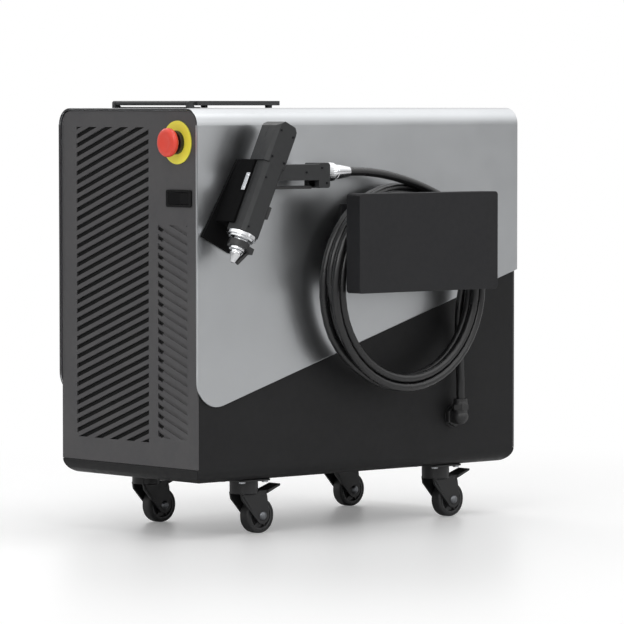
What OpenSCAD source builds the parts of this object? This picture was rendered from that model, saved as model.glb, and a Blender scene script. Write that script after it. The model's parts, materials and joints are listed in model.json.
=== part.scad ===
// Air-cooled handheld fiber laser welding machine on four swivel castors.
// Millimetres. +Z is up and the floor is Z = 0. The front panel faces -X, and the
// welding gun and its hose hang on the -Y side.

/* [Cabinet] */
// Length of the cabinet from front panel to rear panel
body_l = 610; // [560:1:740]
// Width of the lower shell and of both end panels
body_w = 296; // [290:1:360]
// Height of the end panels' top edge above the floor
body_top = 592; // [580:1:712]
// Radius of the cabinet's rolled bottom edges
roll_r = 20; // [14:1:24]
// Radius of the two long top edges
top_r = 20; // [10:1:26]
// Sheet thickness of the lower shell
shell_t = 2.5; // [2:0.1:3]
// Thickness of the silver cover
cover_t = 3; // [2:0.1:3.6]
// Height of the cover's sloping lower edge at the front
cover_low = 172; // [140:1:200]
// Slope of the cover's lower edge, in degrees
cover_slope = 17; // [14:0.5:18]
// Radius of the cover's lower front corner
cover_corner_r = 37; // [20:1:44]

/* [End panels] */
// Thickness of an end panel's face
panel_t = 3; // [2.4:0.1:3.6]
// Depth of an end panel's rim
rim_d = 14.5; // [12:0.5:18]
// Vertical distance between two vent slots
slot_pitch = 13; // [12:0.5:16]
// Height of a vent slot
slot_h = 6; // [4:0.5:7]
// Tilt of the vent slots, in degrees
slot_tilt = 20.5; // [8:0.5:24]
// Width of the main vent field
vent_w = 159; // [120:1:160]
// Height of the main vent field
vent_h = 438; // [300:1:440]
// Width of the narrow vent field beside it
side_vent_w = 63; // [40:1:64]
// Height of the narrow vent field
side_vent_h = 295; // [200:1:300]

/* [Castors] */
// Castor wheel diameter
wheel_d = 50; // [44:1:56]
// Castor wheel width
wheel_w = 18; // [16:1:20]
// Height of a castor from the floor to its mounting plate's top
caster_h = 78; // [74:1:90]
// Distance that a wheel trails behind its swivel axis
trail = 24; // [20:1:28]
// Distance between the front and rear castors
wheel_base = 370; // [320:1:420]
// Distance between the left and right castors
track = 214; // [190:1:214]
// Diameter of a castor's axle
axle_d = 8; // [6:0.5:9]

/* [Controls] */
// Diameter of the emergency stop's red mushroom knob
knob_d = 40; // [34:1:46]
// Diameter of the yellow plate around it
plate_d = 60; // [54:1:64]
// Travel of the emergency stop
knob_travel = 6; // [4:0.5:6]
// Length of the power switch's bezel
switch_l = 54; // [46:1:56]
// Height of the power switch's bezel
switch_h = 24; // [22:1:30]
// Length and width of the flip-up control screen
screen_l = 168; // [150:1:190]
// Thickness of the screen's housing
screen_t = 6.4; // [6:0.2:8]

/* [Welding gun] */
// Length of the gun's body behind its flange
gun_l = 166; // [160:1:172]
// Thickness of the gun's body
gun_t = 39; // [32:0.5:41]
// Tilt of the hanging gun from upright, in degrees
gun_tilt = 25.5; // [24:0.5:27]
// Distance from the cover's side to the gun's middle
gun_p = 42; // [41:0.5:46]
// Diameter of the gun's front flange
flange_d = 42; // [36:1:44]
// Diameter of the nozzle's mouth
nozzle_mouth_d = 4; // [2:0.5:5]

/* [Hose] */
// Outer diameter of the fiber and gas hose
hose_d = 12; // [10:0.5:12]
// Outer radius of the hanging coil
coil_r = 148; // [144:1:152]
// Length of the box that closes the hose hanger
box_l = 268; // [240:1:280]
// Height of that box
box_h = 139; // [120:1:150]
// Distance from the cover's side to the box's face
box_p = 90; // [86:1:96]

/* [Inside] */
// Side of a cooling fan's square frame
fan_size = 150; // [130:1:154]
// Depth of a cooling fan's frame
fan_t = 32; // [28:1:38]
// Length of the laser module
module_l = 360; // [300:1:380]
// Height of the heat sink under it
sink_h = 80; // [60:1:100]

/* [Hidden] */
$fn = 64;
CASTERS = [1 : 4];

// ---- clearances that every fit uses
seat = 0.1;                  // gap between faces that are bolted together
slip = 0.3;                  // gap between parts that slide or rest loosely
run = 0.05;                  // radial running clearance of a shaft

// ---- levels and faces of the cabinet, from which everything else hangs
cover_gap = 0.5;             // gap between the shell and the cover over it
cover_out = cover_gap + cover_t;
side_y = -cover_out;         // outer face of the cover on the gun's side
body_low = caster_h + seat;  // underside of the shell
panel_low = body_low + roll_r;
base_t = 3;                  // chassis base plate
bulk_t = 2.5;                // chassis end walls
bulk_u = panel_t + rim_d + seat;
chassis_w = body_w - 2 * roll_r;
// the shell's rolled end edge rises by this much under the chassis' end walls
roll_rise = roll_r - shell_t - sqrt(pow(roll_r - shell_t, 2) - pow(max(roll_r - bulk_u, 0), 2));
floor_z = body_low + shell_t + roll_rise + seat;
deck_z = floor_z + base_t + seat;
top_z = body_top + cover_out;
knob_out = 24;               // reach of the emergency stop in front of the panel
rear_out = 22;               // reach of the fittings behind the rear panel

// ---- cabinet corner: front face, gun side, floor. The whole machine's footprint,
// ---- with what stands proud of the cabinet, is centred on the origin.
corner = [(knob_out - rear_out - body_l) / 2, (box_p - body_w) / 2, 0];

// ---------------------------------------------------------------- helpers

// Extrudes a (Y, Z) outline along X, and an (X, Z) outline along Y.
module along_x(from, len) translate([from, 0, 0]) rotate([90, 0, 90]) linear_extrude(len) children();
module along_y(from, len) translate([0, from + len, 0]) rotate([90, 0, 0]) linear_extrude(len) children();

// A cylinder along X or Y that starts at the given point.
module rod_x(p, r, len) translate(p) rotate([0, 90, 0]) cylinder(r = r, h = len);
module rod_y(p, r, len) translate(p) rotate([-90, 0, 0]) cylinder(r = r, h = len);

// A box from its lowest corner.
module block(p, size) translate(p) cube(size);

// Rectangle from (0, 0) with its two upper corners rounded.
module arch(size, r) {
    square([size.x, size.y - r]);
    translate([r, 0]) square([size.x - 2 * r, size.y]);
    for (x = [r, size.x - r]) translate([x, size.y - r]) circle(r);
}

// Rectangle from (0, 0) with its two lower corners rounded.
module trough(size, r) translate([0, size.y]) mirror([0, 1]) arch(size, r);

// Rectangle about (0, 0) with four rounded corners.
module rounded(size, r) {
    square([size.x - 2 * r, size.y], center = true);
    square([size.x, size.y - 2 * r], center = true);
    for (x = [-1, 1], y = [-1, 1])
        translate([x * (size.x / 2 - r), y * (size.y / 2 - r)]) circle(r);
}

// ---------------------------------------------------------------- enclosure

// The shell's outer form, or its inner form when inset by the wall.
module shell_form(inset) {
    h = body_top - body_low;
    intersection() {
        along_x(inset, body_l - 2 * inset) translate([inset, body_low + inset])
            trough([body_w - 2 * inset, h], roll_r - inset);
        along_y(inset, body_w - 2 * inset) translate([inset, body_low + inset])
            trough([body_l - 2 * inset, h], roll_r - inset);
    }
}

// Height of the cover's lower edge at a distance u from the front.
function edge_z(u) = cover_low + u * tan(cover_slope);

shell_lap = 60;              // how far the shell reaches up behind the cover

// Dark lower tray with rolled edges: its sides run up behind the cover.
module base_shell() color([0.17, 0.17, 0.17]) difference() {
    shell_form(0);
    shell_form(shell_t);
    for (u = [-1, body_l - panel_t - slip])
        block([u, -1, panel_low], [panel_t + slip + 1, body_w + 2, body_top]);
    along_y(-1, body_w + 2) polygon([[-1, edge_z(0) + shell_lap], [body_l + 1, edge_z(body_l) + shell_lap],
        [body_l + 1, body_top * 2], [-1, body_top * 2]]);
    rod_y([gland_u, -1, gland_z], gland_r + slip, shell_t + 2);
}

fan_u = bulk_u + bulk_t + seat;
fan_z = [for (i = [0, 1]) 222 + i * (fan_size + 10)];
fan_y = 190;
fan_bore_r = fan_size / 2 - 6;
flange_w = 22;               // chassis top flanges that carry the cover

// One folded sheet: base plate, two end walls and the flanges under the cover.
module chassis() color([0.62, 0.63, 0.64]) difference() {
    along_y((body_w - chassis_w) / 2, chassis_w) {
        translate([bulk_u, floor_z]) square([body_l - 2 * bulk_u, base_t]);
        for (u = [bulk_u, body_l - bulk_u - bulk_t])
            translate([u, floor_z]) square([bulk_t, body_top - floor_z]);
        for (u = [bulk_u, body_l - bulk_u - flange_w])
            translate([u, body_top + cover_gap - slip - bulk_t]) square([flange_w, bulk_t]);
    }
    for (z = fan_z) {
        rod_x([bulk_u - 1, fan_y, z], fan_bore_r, bulk_t + 2);
        rod_x([body_l - bulk_u - bulk_t - 1, fan_y, z], fan_bore_r, bulk_t + 2);
    }
    block([bulk_u - 1, estop_y - 24, estop_z - 28], [bulk_t + 2, 48, 56]);
    block([bulk_u - 1, switch_y - 30, switch_z - 16], [bulk_t + 2, 60, 32]);
    for (f = rear_fittings)
        rod_x([body_l - bulk_u - bulk_t - 1, f.x, f.y], f.z + 4, bulk_t + 2);
}

cover_lip = 3;               // the cover stands this far proud of each end panel

// Outline of the cover's sides: a sloping lower edge with its front corner rounded off.
module cover_outline() {
    cover_end = -cover_lip;
    u1 = body_l + cover_lip;
    c = [cover_end + cover_corner_r,
        edge_z(cover_end + cover_corner_r) + cover_corner_r / cos(cover_slope)];
    down = [sin(cover_slope), -cos(cover_slope)];
    difference() {
        polygon([[cover_end, edge_z(cover_end)], [cover_end, top_z + 1], [u1, top_z + 1], [u1, edge_z(u1)]]);
        difference() {
            polygon([[cover_end - 1, c.y], c, c + (cover_corner_r + 1) * down, [cover_end - 1, edge_z(cover_end - 1) - 2]]);
            translate(c) circle(cover_corner_r);
        }
    }
}

// Silver sheet over the top and both sides.
module cover_sheet() intersection() {
    along_y(-cover_out - 1, body_w + 2 * cover_out + 2) cover_outline();
    difference() {
        along_x(-cover_lip, body_l + 2 * cover_lip) translate([-cover_out, 0])
            arch([body_w + 2 * cover_out, top_z], top_r + cover_out);
        along_x(-cover_lip - 1, body_l + 2 * cover_lip + 2) translate([-cover_gap, -1])
            arch([body_w + 2 * cover_gap, body_top + cover_gap + 1], top_r + cover_gap);
    }
}

bend = [top_r, body_top - top_r];    // middle of the cover's bend on the gun's side
bend_cut = 2 * (top_r + cover_out);  // reach of the cut across it

// The sheet is held in three parts that meet face to face halfway round each bend.
module cover_top() color([0.68, 0.69, 0.70]) intersection() {
    cover_sheet();
    along_x(-cover_lip - 1, body_l + 2 * cover_lip + 2)
        polygon([bend, bend + [-bend_cut, bend_cut], [body_w - bend.x + bend_cut, bend.y + bend_cut],
            [body_w - bend.x, bend.y]]);
}

module cover_near_side() color([0.68, 0.69, 0.70]) intersection() {
    cover_sheet();
    along_x(-cover_lip - 1, body_l + 2 * cover_lip + 2)
        polygon([bend, bend + [-bend_cut, bend_cut], [-bend_cut, 0], [bend.x, 0]]);
}

module cover_far_side() color([0.68, 0.69, 0.70]) intersection() {
    cover_sheet();
    along_x(-cover_lip - 1, body_l + 2 * cover_lip + 2)
        polygon([[body_w - bend.x, bend.y], [body_w - bend.x, 0], [body_w + bend_cut, 0],
            [body_w - bend.x + bend_cut, bend.y + bend_cut]]);
}

vent_y = 104;                // near edge of the main vent field
vent_z = 131;                // its lower edge
side_vent_y = 21;            // near edge of the narrow field
side_vent_z = 139;           // its lower edge
side_open_w = 10;            // width of its open strip
groove_h = 4.5;
groove_d = 2;                // depth of the narrow field's blind grooves

// Sloping slots that fill a field and are cut off square at its edges.
module slots(size, h, tilt) {
    rise = size.x * tan(abs(tilt));
    intersection() {
        square(size);
        for (z = [slot_pitch / 2 - rise : slot_pitch : size.y + rise])
            translate([size.x / 2, z]) rotate(tilt) translate([-size.x, -h / 2]) square([2 * size.x, h]);
    }
}

// Face plate and rim that the front and rear panels share, face at X = 0.
module end_panel() {
    along_x(0, panel_t) translate([0, panel_low + slip]) arch([body_w, body_top - panel_low - slip], top_r);
    gap = shell_t + slip;
    along_x(panel_t - seat, rim_d + seat) difference() {
        translate([gap, panel_low + slip + gap])
            arch([body_w - 2 * gap, body_top - panel_low - slip - 2 * gap], top_r - gap);
        translate([2 * gap, panel_low + slip + 2 * gap])
            arch([body_w - 4 * gap, body_top - panel_low - slip - 4 * gap], top_r - 2 * gap);
    }
}

module front_panel() color([0.32, 0.32, 0.32]) difference() {
    end_panel();
    along_x(-1, panel_t + 2) translate([vent_y, vent_z]) slots([vent_w, vent_h], slot_h, -slot_tilt);
    along_x(-1, groove_d + 1) translate([side_vent_y, side_vent_z])
        slots([side_vent_w, side_vent_h], groove_h, slot_tilt);
    along_x(-1, panel_t + 2) translate([side_vent_y + side_vent_w - side_open_w, side_vent_z])
        slots([side_open_w, side_vent_h], groove_h, slot_tilt);
    rod_x([-1, estop_y, estop_z], estop_hole_r, panel_t + 2);
    block([-1, switch_y - switch_l / 2 + 2 - slip, switch_z - switch_h / 2 + 2 - slip],
        [panel_t + 2, switch_l - 4 + 2 * slip, switch_h - 4 + 2 * slip]);
}

// Rear fittings: place across, height and hole radius.
gas_y = 60;
gas_z = 300;
gas_r = 8;
power_y = 60;
power_z = 150;
power_r = 10;
earth_y = 60;
earth_z = 225;
stud_d = 8;
earth_r = stud_d / 2;
rear_fittings = [[gas_y, gas_z, gas_r], [power_y, power_z, power_r], [earth_y, earth_z, earth_r]];

screw_y = 9;                 // panel screws, from the panel's edges
screw_z = [panel_low + 12, (panel_low + body_top) / 2, body_top - 22];
screw_r = 2;

module rear_panel() color([0.32, 0.32, 0.32]) difference() {
    translate([body_l, 0, 0]) mirror([1, 0, 0]) end_panel();
    along_x(body_l - panel_t - 1, panel_t + 2) translate([vent_y, vent_z])
        slots([vent_w, vent_h], slot_h, slot_tilt);
    for (f = rear_fittings) rod_x([body_l - panel_t - 1, f.x, f.y], f.z + slip, panel_t + 2);
    for (y = [screw_y, body_w - screw_y], z = screw_z)
        rod_x([body_l - panel_t - 1, y, z], screw_r + slip, panel_t + 2);
}

// Round-headed screws that hold the rear panel.
module panel_screws() color([0.1, 0.1, 0.1])
    for (y = [screw_y, body_w - screw_y], z = screw_z) {
        rod_x([body_l + seat, y, z], screw_r * 2, 2);
        rod_x([body_l - panel_t - 1, y, z], screw_r, panel_t + 1 + 2 * seat);
    }

// ---------------------------------------------------------------- castors

caster_xy = [for (u = [-1, 1], w = [-1, 1]) [(body_l + u * wheel_base) / 2, (body_w + w * track) / 2]];
plate_t = 2.5;
plate_w = 56;
kingpin_r = 5;
crown_r = 20;
crown_top = caster_h - plate_t - slip;
crown_h = 18;
cup_r = 16;                  // hollow of the crown round the kingpin's head
crown_t = 4;
wheel_r = wheel_d / 2;
cheek_t = 3.5;
cheek_y = wheel_w / 2 + 1;   // inner face of a fork cheek
pedal_x = trail + 2;         // brake pedal's pivot
pedal_z = wheel_d + 5.5;
pedal_r = 2.5;
pad_top = min(pedal_z + 13, body_low - 4);   // the pad rises to just under the shell

// Mounting plates with the kingpins that the forks turn on.
module caster_plates() color([0.15, 0.15, 0.15])
    for (p = caster_xy) translate([p.x, p.y, 0]) {
        translate([0, 0, caster_h - plate_t]) linear_extrude(plate_t) rounded([plate_w, plate_w], 6);
        translate([0, 0, crown_top - crown_t - slip]) cylinder(r = kingpin_r, h = crown_t + 2 * slip + seat);
        translate([0, 0, crown_top - crown_t - slip - 4]) cylinder(r = kingpin_r + 4, h = 4);
    }

// Fork: a crown round the kingpin and two cheeks down to the axle.
module caster_fork(p) color([0.15, 0.15, 0.15]) translate([p.x, p.y, 0]) difference() {
    union() {
        translate([0, 0, crown_top - crown_h]) cylinder(r = crown_r, h = crown_h);
        for (s = [-1, 1]) along_y(s > 0 ? cheek_y : -cheek_y - cheek_t, cheek_t) {
            translate([trail, wheel_r]) circle(12);
            polygon([[-16, crown_top - crown_h + 2], [16, crown_top - crown_h + 2], [16, pedal_z + 5],
                [pedal_x + 4, pedal_z + 5], [pedal_x + 6.5, pedal_z - 4], [trail + 11.6, wheel_r + 3],
                [trail, wheel_r], [trail - 10.5, wheel_r - 5.8], [-14, crown_top - crown_h - 8]]);
        }
    }
    translate([0, 0, crown_top - crown_t]) cylinder(r = kingpin_r + run * 2, h = crown_t + 1);
    translate([0, 0, crown_top - crown_h - 1]) cylinder(r = cup_r, h = crown_h - crown_t + 1);
    rod_y([trail, -cheek_y - cheek_t - 1, wheel_r], axle_d / 2 + run, 2 * (cheek_y + cheek_t + 1));
    rod_y([pedal_x, -cheek_y - cheek_t - 1, pedal_z], pedal_r + 2 * run, 2 * (cheek_y + cheek_t + 1));
    // room for the wheel inside the crown's rim
    rod_y([trail, -cheek_y, wheel_r], wheel_r + 2.5, 2 * cheek_y);
}

// Wheel with a rounded tread, dished sides and a plain bore.
module caster_wheel(p) color([0.12, 0.12, 0.12]) translate([p.x + trail, p.y, wheel_r])
    rotate([90, 0, 0]) rotate_extrude() {
        bore = axle_d / 2 + run;
        hw = wheel_w / 2;
        translate([bore, -hw]) square([4, wheel_w]);
        translate([bore, -hw + 5]) square([wheel_r - bore - 3, wheel_w - 10]);
        translate([wheel_r - 8, -hw + 3]) square([8, wheel_w - 6]);
        translate([wheel_r - 8 + 0.5, -hw]) square([4.5, wheel_w]);
        for (s = [-1, 1]) translate([wheel_r - 3, s * (hw - 3)]) circle(3);
    }

// Axle bolt with a round head on one side and a nut on the other.
module caster_axle(p) color([0.6, 0.6, 0.62]) translate([p.x + trail, p.y, wheel_r]) {
    reach = cheek_y + cheek_t + seat;
    rod_y([0, -reach, 0], axle_d / 2, 2 * reach);
    rod_y([0, -reach - 3, 0], axle_d / 2 + 2.5, 3);
    rod_y([0, reach, 0], axle_d / 2 + 2, 3.5);
}

// Brake pedal between the cheeks, on its own stub pins.
module brake_pedal(p) color([0.13, 0.13, 0.13]) translate([p.x, p.y, 0]) {
    half = cheek_y - slip;
    rod_y([pedal_x, -half - cheek_t, pedal_z], pedal_r, 2 * (half + cheek_t));
    rod_y([pedal_x, -half, pedal_z], pedal_r + 1.5, 2 * half);
    along_y(-half, 2 * half) polygon([[pedal_x, pedal_z - 2], [pedal_x + 10, pedal_z + 1],
        [pedal_x + 10, pedal_z + 5.4], [pedal_x - 1, pedal_z + 3.8]]);
    along_y(-12, 24) polygon([[pedal_x + 9, pedal_z + 0.6], [pedal_x + 32, pad_top - 3],
        [pedal_x + 32, pad_top], [pedal_x + 9, pedal_z + 5.2]]);
}

// ---------------------------------------------------------------- controls

estop_y = 40.5;
estop_z = 548.5;
estop_hole_r = 11.15;
estop_barrel_r = 11;
yellow_t = 2;
bezel_h = 6;
bezel_floor = 1.5;           // bottom of the collar's cup
neck_r = 12.5;
stem_r = 6;
knob_foot = yellow_t + 2 * seat + bezel_floor + knob_travel + slip;

// Bare yellow plate behind the emergency stop.
module estop_plate() color([0.94, 0.85, 0.1]) difference() {
    rod_x([-yellow_t - seat, estop_y, estop_z], plate_d / 2, yellow_t);
    rod_x([-yellow_t - 1, estop_y, estop_z], estop_hole_r, yellow_t + 2);
}

// Collar, threaded barrel and contact block.
module estop_body() color([0.12, 0.12, 0.12]) difference() {
    face = -yellow_t - 2 * seat;
    union() {
        rod_x([face - bezel_h, estop_y, estop_z], neck_r + 4, bezel_h);
        rod_x([face - 1, estop_y, estop_z], estop_barrel_r, 20);
        rod_x([panel_t + seat, estop_y, estop_z], estop_barrel_r + 5, 6);
        block([panel_t + seat + 5, estop_y - 15, estop_z - 20], [38, 30, 40]);
    }
    rod_x([face - bezel_h - 1, estop_y, estop_z], neck_r + slip, bezel_h + 1 - bezel_floor);
    rod_x([face - bezel_h, estop_y, estop_z], stem_r + run, bezel_h + 41);
}

// Plunger that slides in the barrel.
module estop_stem() color([0.85, 0.85, 0.82])
    rod_x([-knob_out + 10, estop_y, estop_z], stem_r, knob_out - 10 + 24);

// Red mushroom knob, free to twist on the plunger.
module estop_knob() color([0.85, 0.1, 0.08]) difference() {
    translate([0, estop_y, estop_z]) rotate([0, -90, 0]) rotate_extrude() {
        brim = knob_foot + 4.5;
        edge = 4.5;
        translate([0, knob_foot]) square([neck_r, knob_out - knob_foot - 2]);
        translate([0, brim]) square([knob_d / 2, knob_out - edge - brim]);
        translate([0, brim]) square([knob_d / 2 - edge, knob_out - brim]);
        translate([knob_d / 2 - edge, knob_out - edge]) circle(edge);
    }
    rod_x([-knob_out + 10 - slip, estop_y, estop_z], stem_r + run, knob_out);
}

switch_y = 37.5;
switch_z = 471.5;
switch_d = 26;               // depth of the switch behind the panel
rocker_l = 40;
rocker_h = 17;
rocker_x = 5;                // pivot behind the panel's face
rocker_tilt = 8;
rocker_pin_r = 1.5;

// Switch body with its bezel, pocket and pivot pin.
module switch_housing() color([0.08, 0.08, 0.08]) {
    difference() {
        union() {
            along_x(-2, 2 - seat) translate([switch_y, switch_z]) rounded([switch_l, switch_h], 3);
            block([-1, switch_y - switch_l / 2 + 2, switch_z - switch_h / 2 + 2],
                [switch_d, switch_l - 4, switch_h - 4]);
        }
        block([-3, switch_y - rocker_l / 2 - 2, switch_z - rocker_h / 2 - slip],
            [20, rocker_l + 4, rocker_h + 2 * slip]);
    }
    translate([rocker_x, switch_y, switch_z - rocker_h / 2 - 1]) cylinder(r = rocker_pin_r, h = rocker_h + 2);
}

// Rocker with a shallow V face. It lies pressed at one end and tips to the other.
module switch_rocker() color([0.14, 0.14, 0.14])
    translate([rocker_x, switch_y, switch_z - rocker_h / 2]) rotate([0, 0, rocker_tilt])
        linear_extrude(rocker_h) difference() {
            polygon([[-6.5, -rocker_l / 2], [-4.5, 0], [-6.5, rocker_l / 2], [-1, rocker_l / 2],
                [2.5, 5], [4, 3], [4, -3], [2.5, -5], [-1, -rocker_l / 2]]);
            circle(rocker_pin_r + run);
        }

screen_y = (body_w - screen_l) / 2;
hinge_u = 43;
hinge_z = top_z + 7;
hinge_r = screen_t / 2;
ear_w = 7;
ear_pin_r = 2;

// Screen bracket: a strip on the cover with an ear and a pivot pin at each end.
module screen_bracket() color([0.12, 0.12, 0.12]) {
    strip_t = 1.6;
    block([hinge_u + 6, screen_y, top_z + seat], [12, screen_l, strip_t]);
    for (s = [0, 1]) {
        y = s ? screen_y + screen_l - ear_w : screen_y;
        along_y(y, ear_w) {
            translate([hinge_u, hinge_z]) circle(hinge_r);
            polygon([[hinge_u - hinge_r, hinge_z], [hinge_u - hinge_r, top_z + seat],
                [hinge_u + 8, top_z + seat], [hinge_u + 8, top_z + seat + strip_t], [hinge_u + hinge_r, hinge_z]]);
        }
        rod_y([hinge_u, s ? y - 8 : y + ear_w - seat, hinge_z], ear_pin_r, 8 + seat);
    }
}

bumper_h = hinge_z - hinge_r - top_z - slip;

// Screen housing: a thin slab that turns on the ears' pins at its front edge.
module screen_housing() color([0.13, 0.13, 0.13]) difference() {
    union() {
        along_y(screen_y + ear_w + slip, screen_l - 2 * (ear_w + slip)) {
            translate([hinge_u, hinge_z]) circle(hinge_r);
            translate([hinge_u, hinge_z - hinge_r]) square([20, screen_t]);
        }
        translate([hinge_u + 14 + (screen_l - 14) / 2, body_w / 2, hinge_z - hinge_r])
            linear_extrude(screen_t) rounded([screen_l - 14, screen_l], 6);
        for (s = [-1, 1]) translate([hinge_u + screen_l - 12, body_w / 2 + s * (screen_l / 2 - 14), top_z + slip])
            cylinder(r = 5, h = bumper_h + 1);
    }
    for (s = [-1, 1])
        rod_y([hinge_u, s > 0 ? body_w / 2 + screen_l / 2 - ear_w - 10 : screen_y + ear_w - 1, hinge_z],
            ear_pin_r + 2 * run, 11);
    translate([hinge_u + screen_l / 2 + 4, body_w / 2, hinge_z + hinge_r - glass_t])
        linear_extrude(glass_t + 1) rounded([screen_l - 22, screen_l - 12], 4);
}

glass_t = 1.2;

// Touch glass let into the housing.
module screen_glass() color([0.03, 0.03, 0.04])
    translate([hinge_u + screen_l / 2 + 4, body_w / 2, hinge_z + hinge_r - glass_t + 0.05])
        linear_extrude(glass_t - 0.05) rounded([screen_l - 22.4, screen_l - 12.4], 4);

// ---------------------------------------------------------------- hose hanger

coil_u = 351;
coil_z = 342;
turn_pitch = hose_d + 0.3;
coil_rows = 2;               // turns side by side across the radius
coil_cols = 3;               // turns side by side away from the cabinet
coil_in = coil_r - coil_rows * turn_pitch - slip;
coil_p = 17;                 // gap between the cover and the coil
coil_w = coil_cols * turn_pitch;
saddle_t = 6;
saddle_half = 52;            // the saddle's half angle, in degrees
box_t = 28;                  // depth of the box
box_face = 3;                // thickness of its face
box_z = 338;
foot_t = 3;
web_u = 32;                  // the webs' distance from the hanger's middle

// Ring sector, point up, between two radii.
module sector(r0, r1, half) difference() {
    circle(r1);
    circle(r0);
    polygon([[0, 0], [2 * r1 * sin(half), 2 * r1 * cos(half)], [2 * r1, -2 * r1], [-2 * r1, -2 * r1],
        [-2 * r1 * sin(half), 2 * r1 * cos(half)]]);
}

// Saddle that the coil hangs on, with a foot on the cover and webs to the box.
module hose_hanger() color([0.16, 0.16, 0.16]) {
    r1 = coil_in - slip;
    depth = box_p - box_t - seat;
    along_y(side_y - depth, depth - seat) translate([coil_u, coil_z]) sector(r1 - saddle_t, r1, saddle_half);
    along_y(side_y - foot_t - seat, foot_t) difference() {
        translate([coil_u - 90, coil_z + 40]) square([180, r1 - 44]);
        for (s = [-1, 1]) translate([coil_u + s * 60, coil_z + 58]) circle(2.5);
    }
    web = box_p - box_face - seat;
    for (s = [-1, 1]) block([coil_u + s * web_u - 3, side_y - web, coil_z + 60], [6, web - seat, 40]);
    along_y(side_y - depth, foot_t) translate([coil_u - 90, coil_z + 40]) square([180, r1 - 44]);
}

// Plain box that closes the hanger, open at its back.
module hanger_box() color([0.2, 0.2, 0.2]) difference() {
    along_y(side_y - box_p, box_t) translate([coil_u, box_z + box_h / 2]) rounded([box_l, box_h], 5);
    along_y(side_y - box_p + box_face, box_t) translate([coil_u, box_z + box_h / 2])
        rounded([box_l - 2 * box_face, box_h - 2 * box_face], 2);
}

gland_u = 484;
gland_z = 150;
gland_r = 11;
gland_p = 14;                // hose axis in front of the cover's side

// Elbow on the shell's side: it turns the hose upwards.
module hose_gland() color([0.12, 0.12, 0.12]) difference() {
    union() {
        rod_y([gland_u, side_y - gland_p + 2, gland_z], gland_r, gland_p - 2 - side_y + shell_t + 4);
        translate([gland_u, side_y - gland_p, gland_z]) sphere(gland_r + 0.5);
        translate([gland_u, side_y - gland_p, gland_z]) cylinder(r = gland_r - 1, h = 26);
        rod_y([gland_u, -2 - seat, gland_z], gland_r + 5, 2);
        rod_y([gland_u, shell_t + seat, gland_z], gland_r + 4, 5);
    }
    translate([gland_u, side_y - gland_p, gland_z + 4]) cylinder(r = hose_d / 2 + run, h = 30);
}

// ---------------------------------------------------------------- welding gun

gun_u = 114;                 // middle of the gun's rear end
gun_z = 573;
gun_y = side_y - gun_p;
rear_half = 20;              // half width of the gun's rear block
front_half = 17;             // half width of the gun ahead of its shoulder
shoulder = 62;               // distance from the rear end to the shoulder
gun_wall = 2.2;
end_chamfer = 10;            // on the rear end's two corners
edge_chamfer = 5;            // on the long edges
grip_root = 89;              // where the grip meets the barrel
grip_half = 15.5;            // half thickness of the grip
grip_z = 507;                // middle of the grip
grip_h = 22;
grip_end = 191;
butt_u = 170;                // where the grip widens
butt_z = 485;
butt_h = 35;
pivot_u = 89;                // trigger lever's pivot
pivot_z = 488;
lever_end = 165;
lever_t = 4.5;
lever_half = 6;              // half width of the lever
lever_pin_r = 1.5;
drawer_a = 116;              // lens drawer's place along the gun
drawer_t = 10;

// Outline work in the gun's own (forward, grip side) directions, laid into (X, Z).
module gun_plane() translate([gun_u, gun_z]) rotate(270 - gun_tilt) children();

// Solids in the gun's frame: +Z forward, -X the grip side, Y across.
module on_gun() translate([gun_u, gun_y, gun_z]) rotate([0, 180 + gun_tilt, 0]) children();

// Side view of the rear block and barrel, drawn in by a wall thickness.
module barrel_side(wall) {
    c = end_chamfer;
    r = rear_half - wall;
    f = front_half - wall;
    gun_plane() polygon([[wall, -r + c], [wall + c, -r], [shoulder - wall, -r], [shoulder - wall, -f],
        [gun_l - wall, -f], [gun_l - wall, f], [shoulder, f], [shoulder, r], [wall + c, r], [wall, r - c]]);
}

// Side view of the grip and its butt, drawn in by a wall thickness.
module grip_side(wall) {
    translate([grip_root, grip_z - grip_h / 2 + wall]) square([butt_u - grip_root + 4, grip_h - 2 * wall]);
    translate([(butt_u + grip_end) / 2, butt_z + butt_h / 2])
        rounded([grip_end - butt_u - 2 * wall, butt_h - 2 * wall], 4);
}

// Rectangle about (0, 0) drawn in by a wall, its four corners cut at 45 degrees.
module cut_rectangle(x, y, wall) {
    a = x - wall;
    b = y - wall;
    c = edge_chamfer - (2 - sqrt(2)) * wall;
    polygon([[a - c, -b], [a, c - b], [a, b - c], [a - c, b], [c - a, b], [-a, b - c], [-a, c - b], [c - a, -b]]);
}

// The gun's moulded body as a solid, drawn in by a wall thickness.
module gun_body(wall) {
    half = gun_t / 2;
    intersection() {
        along_y(gun_y - half, gun_t) barrel_side(wall);
        on_gun() {
            translate([0, 0, -1]) linear_extrude(shoulder + 1) cut_rectangle(rear_half, half, wall);
            linear_extrude(gun_l + 1) cut_rectangle(front_half, half, wall);
        }
    }
    along_y(gun_y - grip_half + wall, 2 * (grip_half - wall)) grip_side(wall);
}

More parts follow.
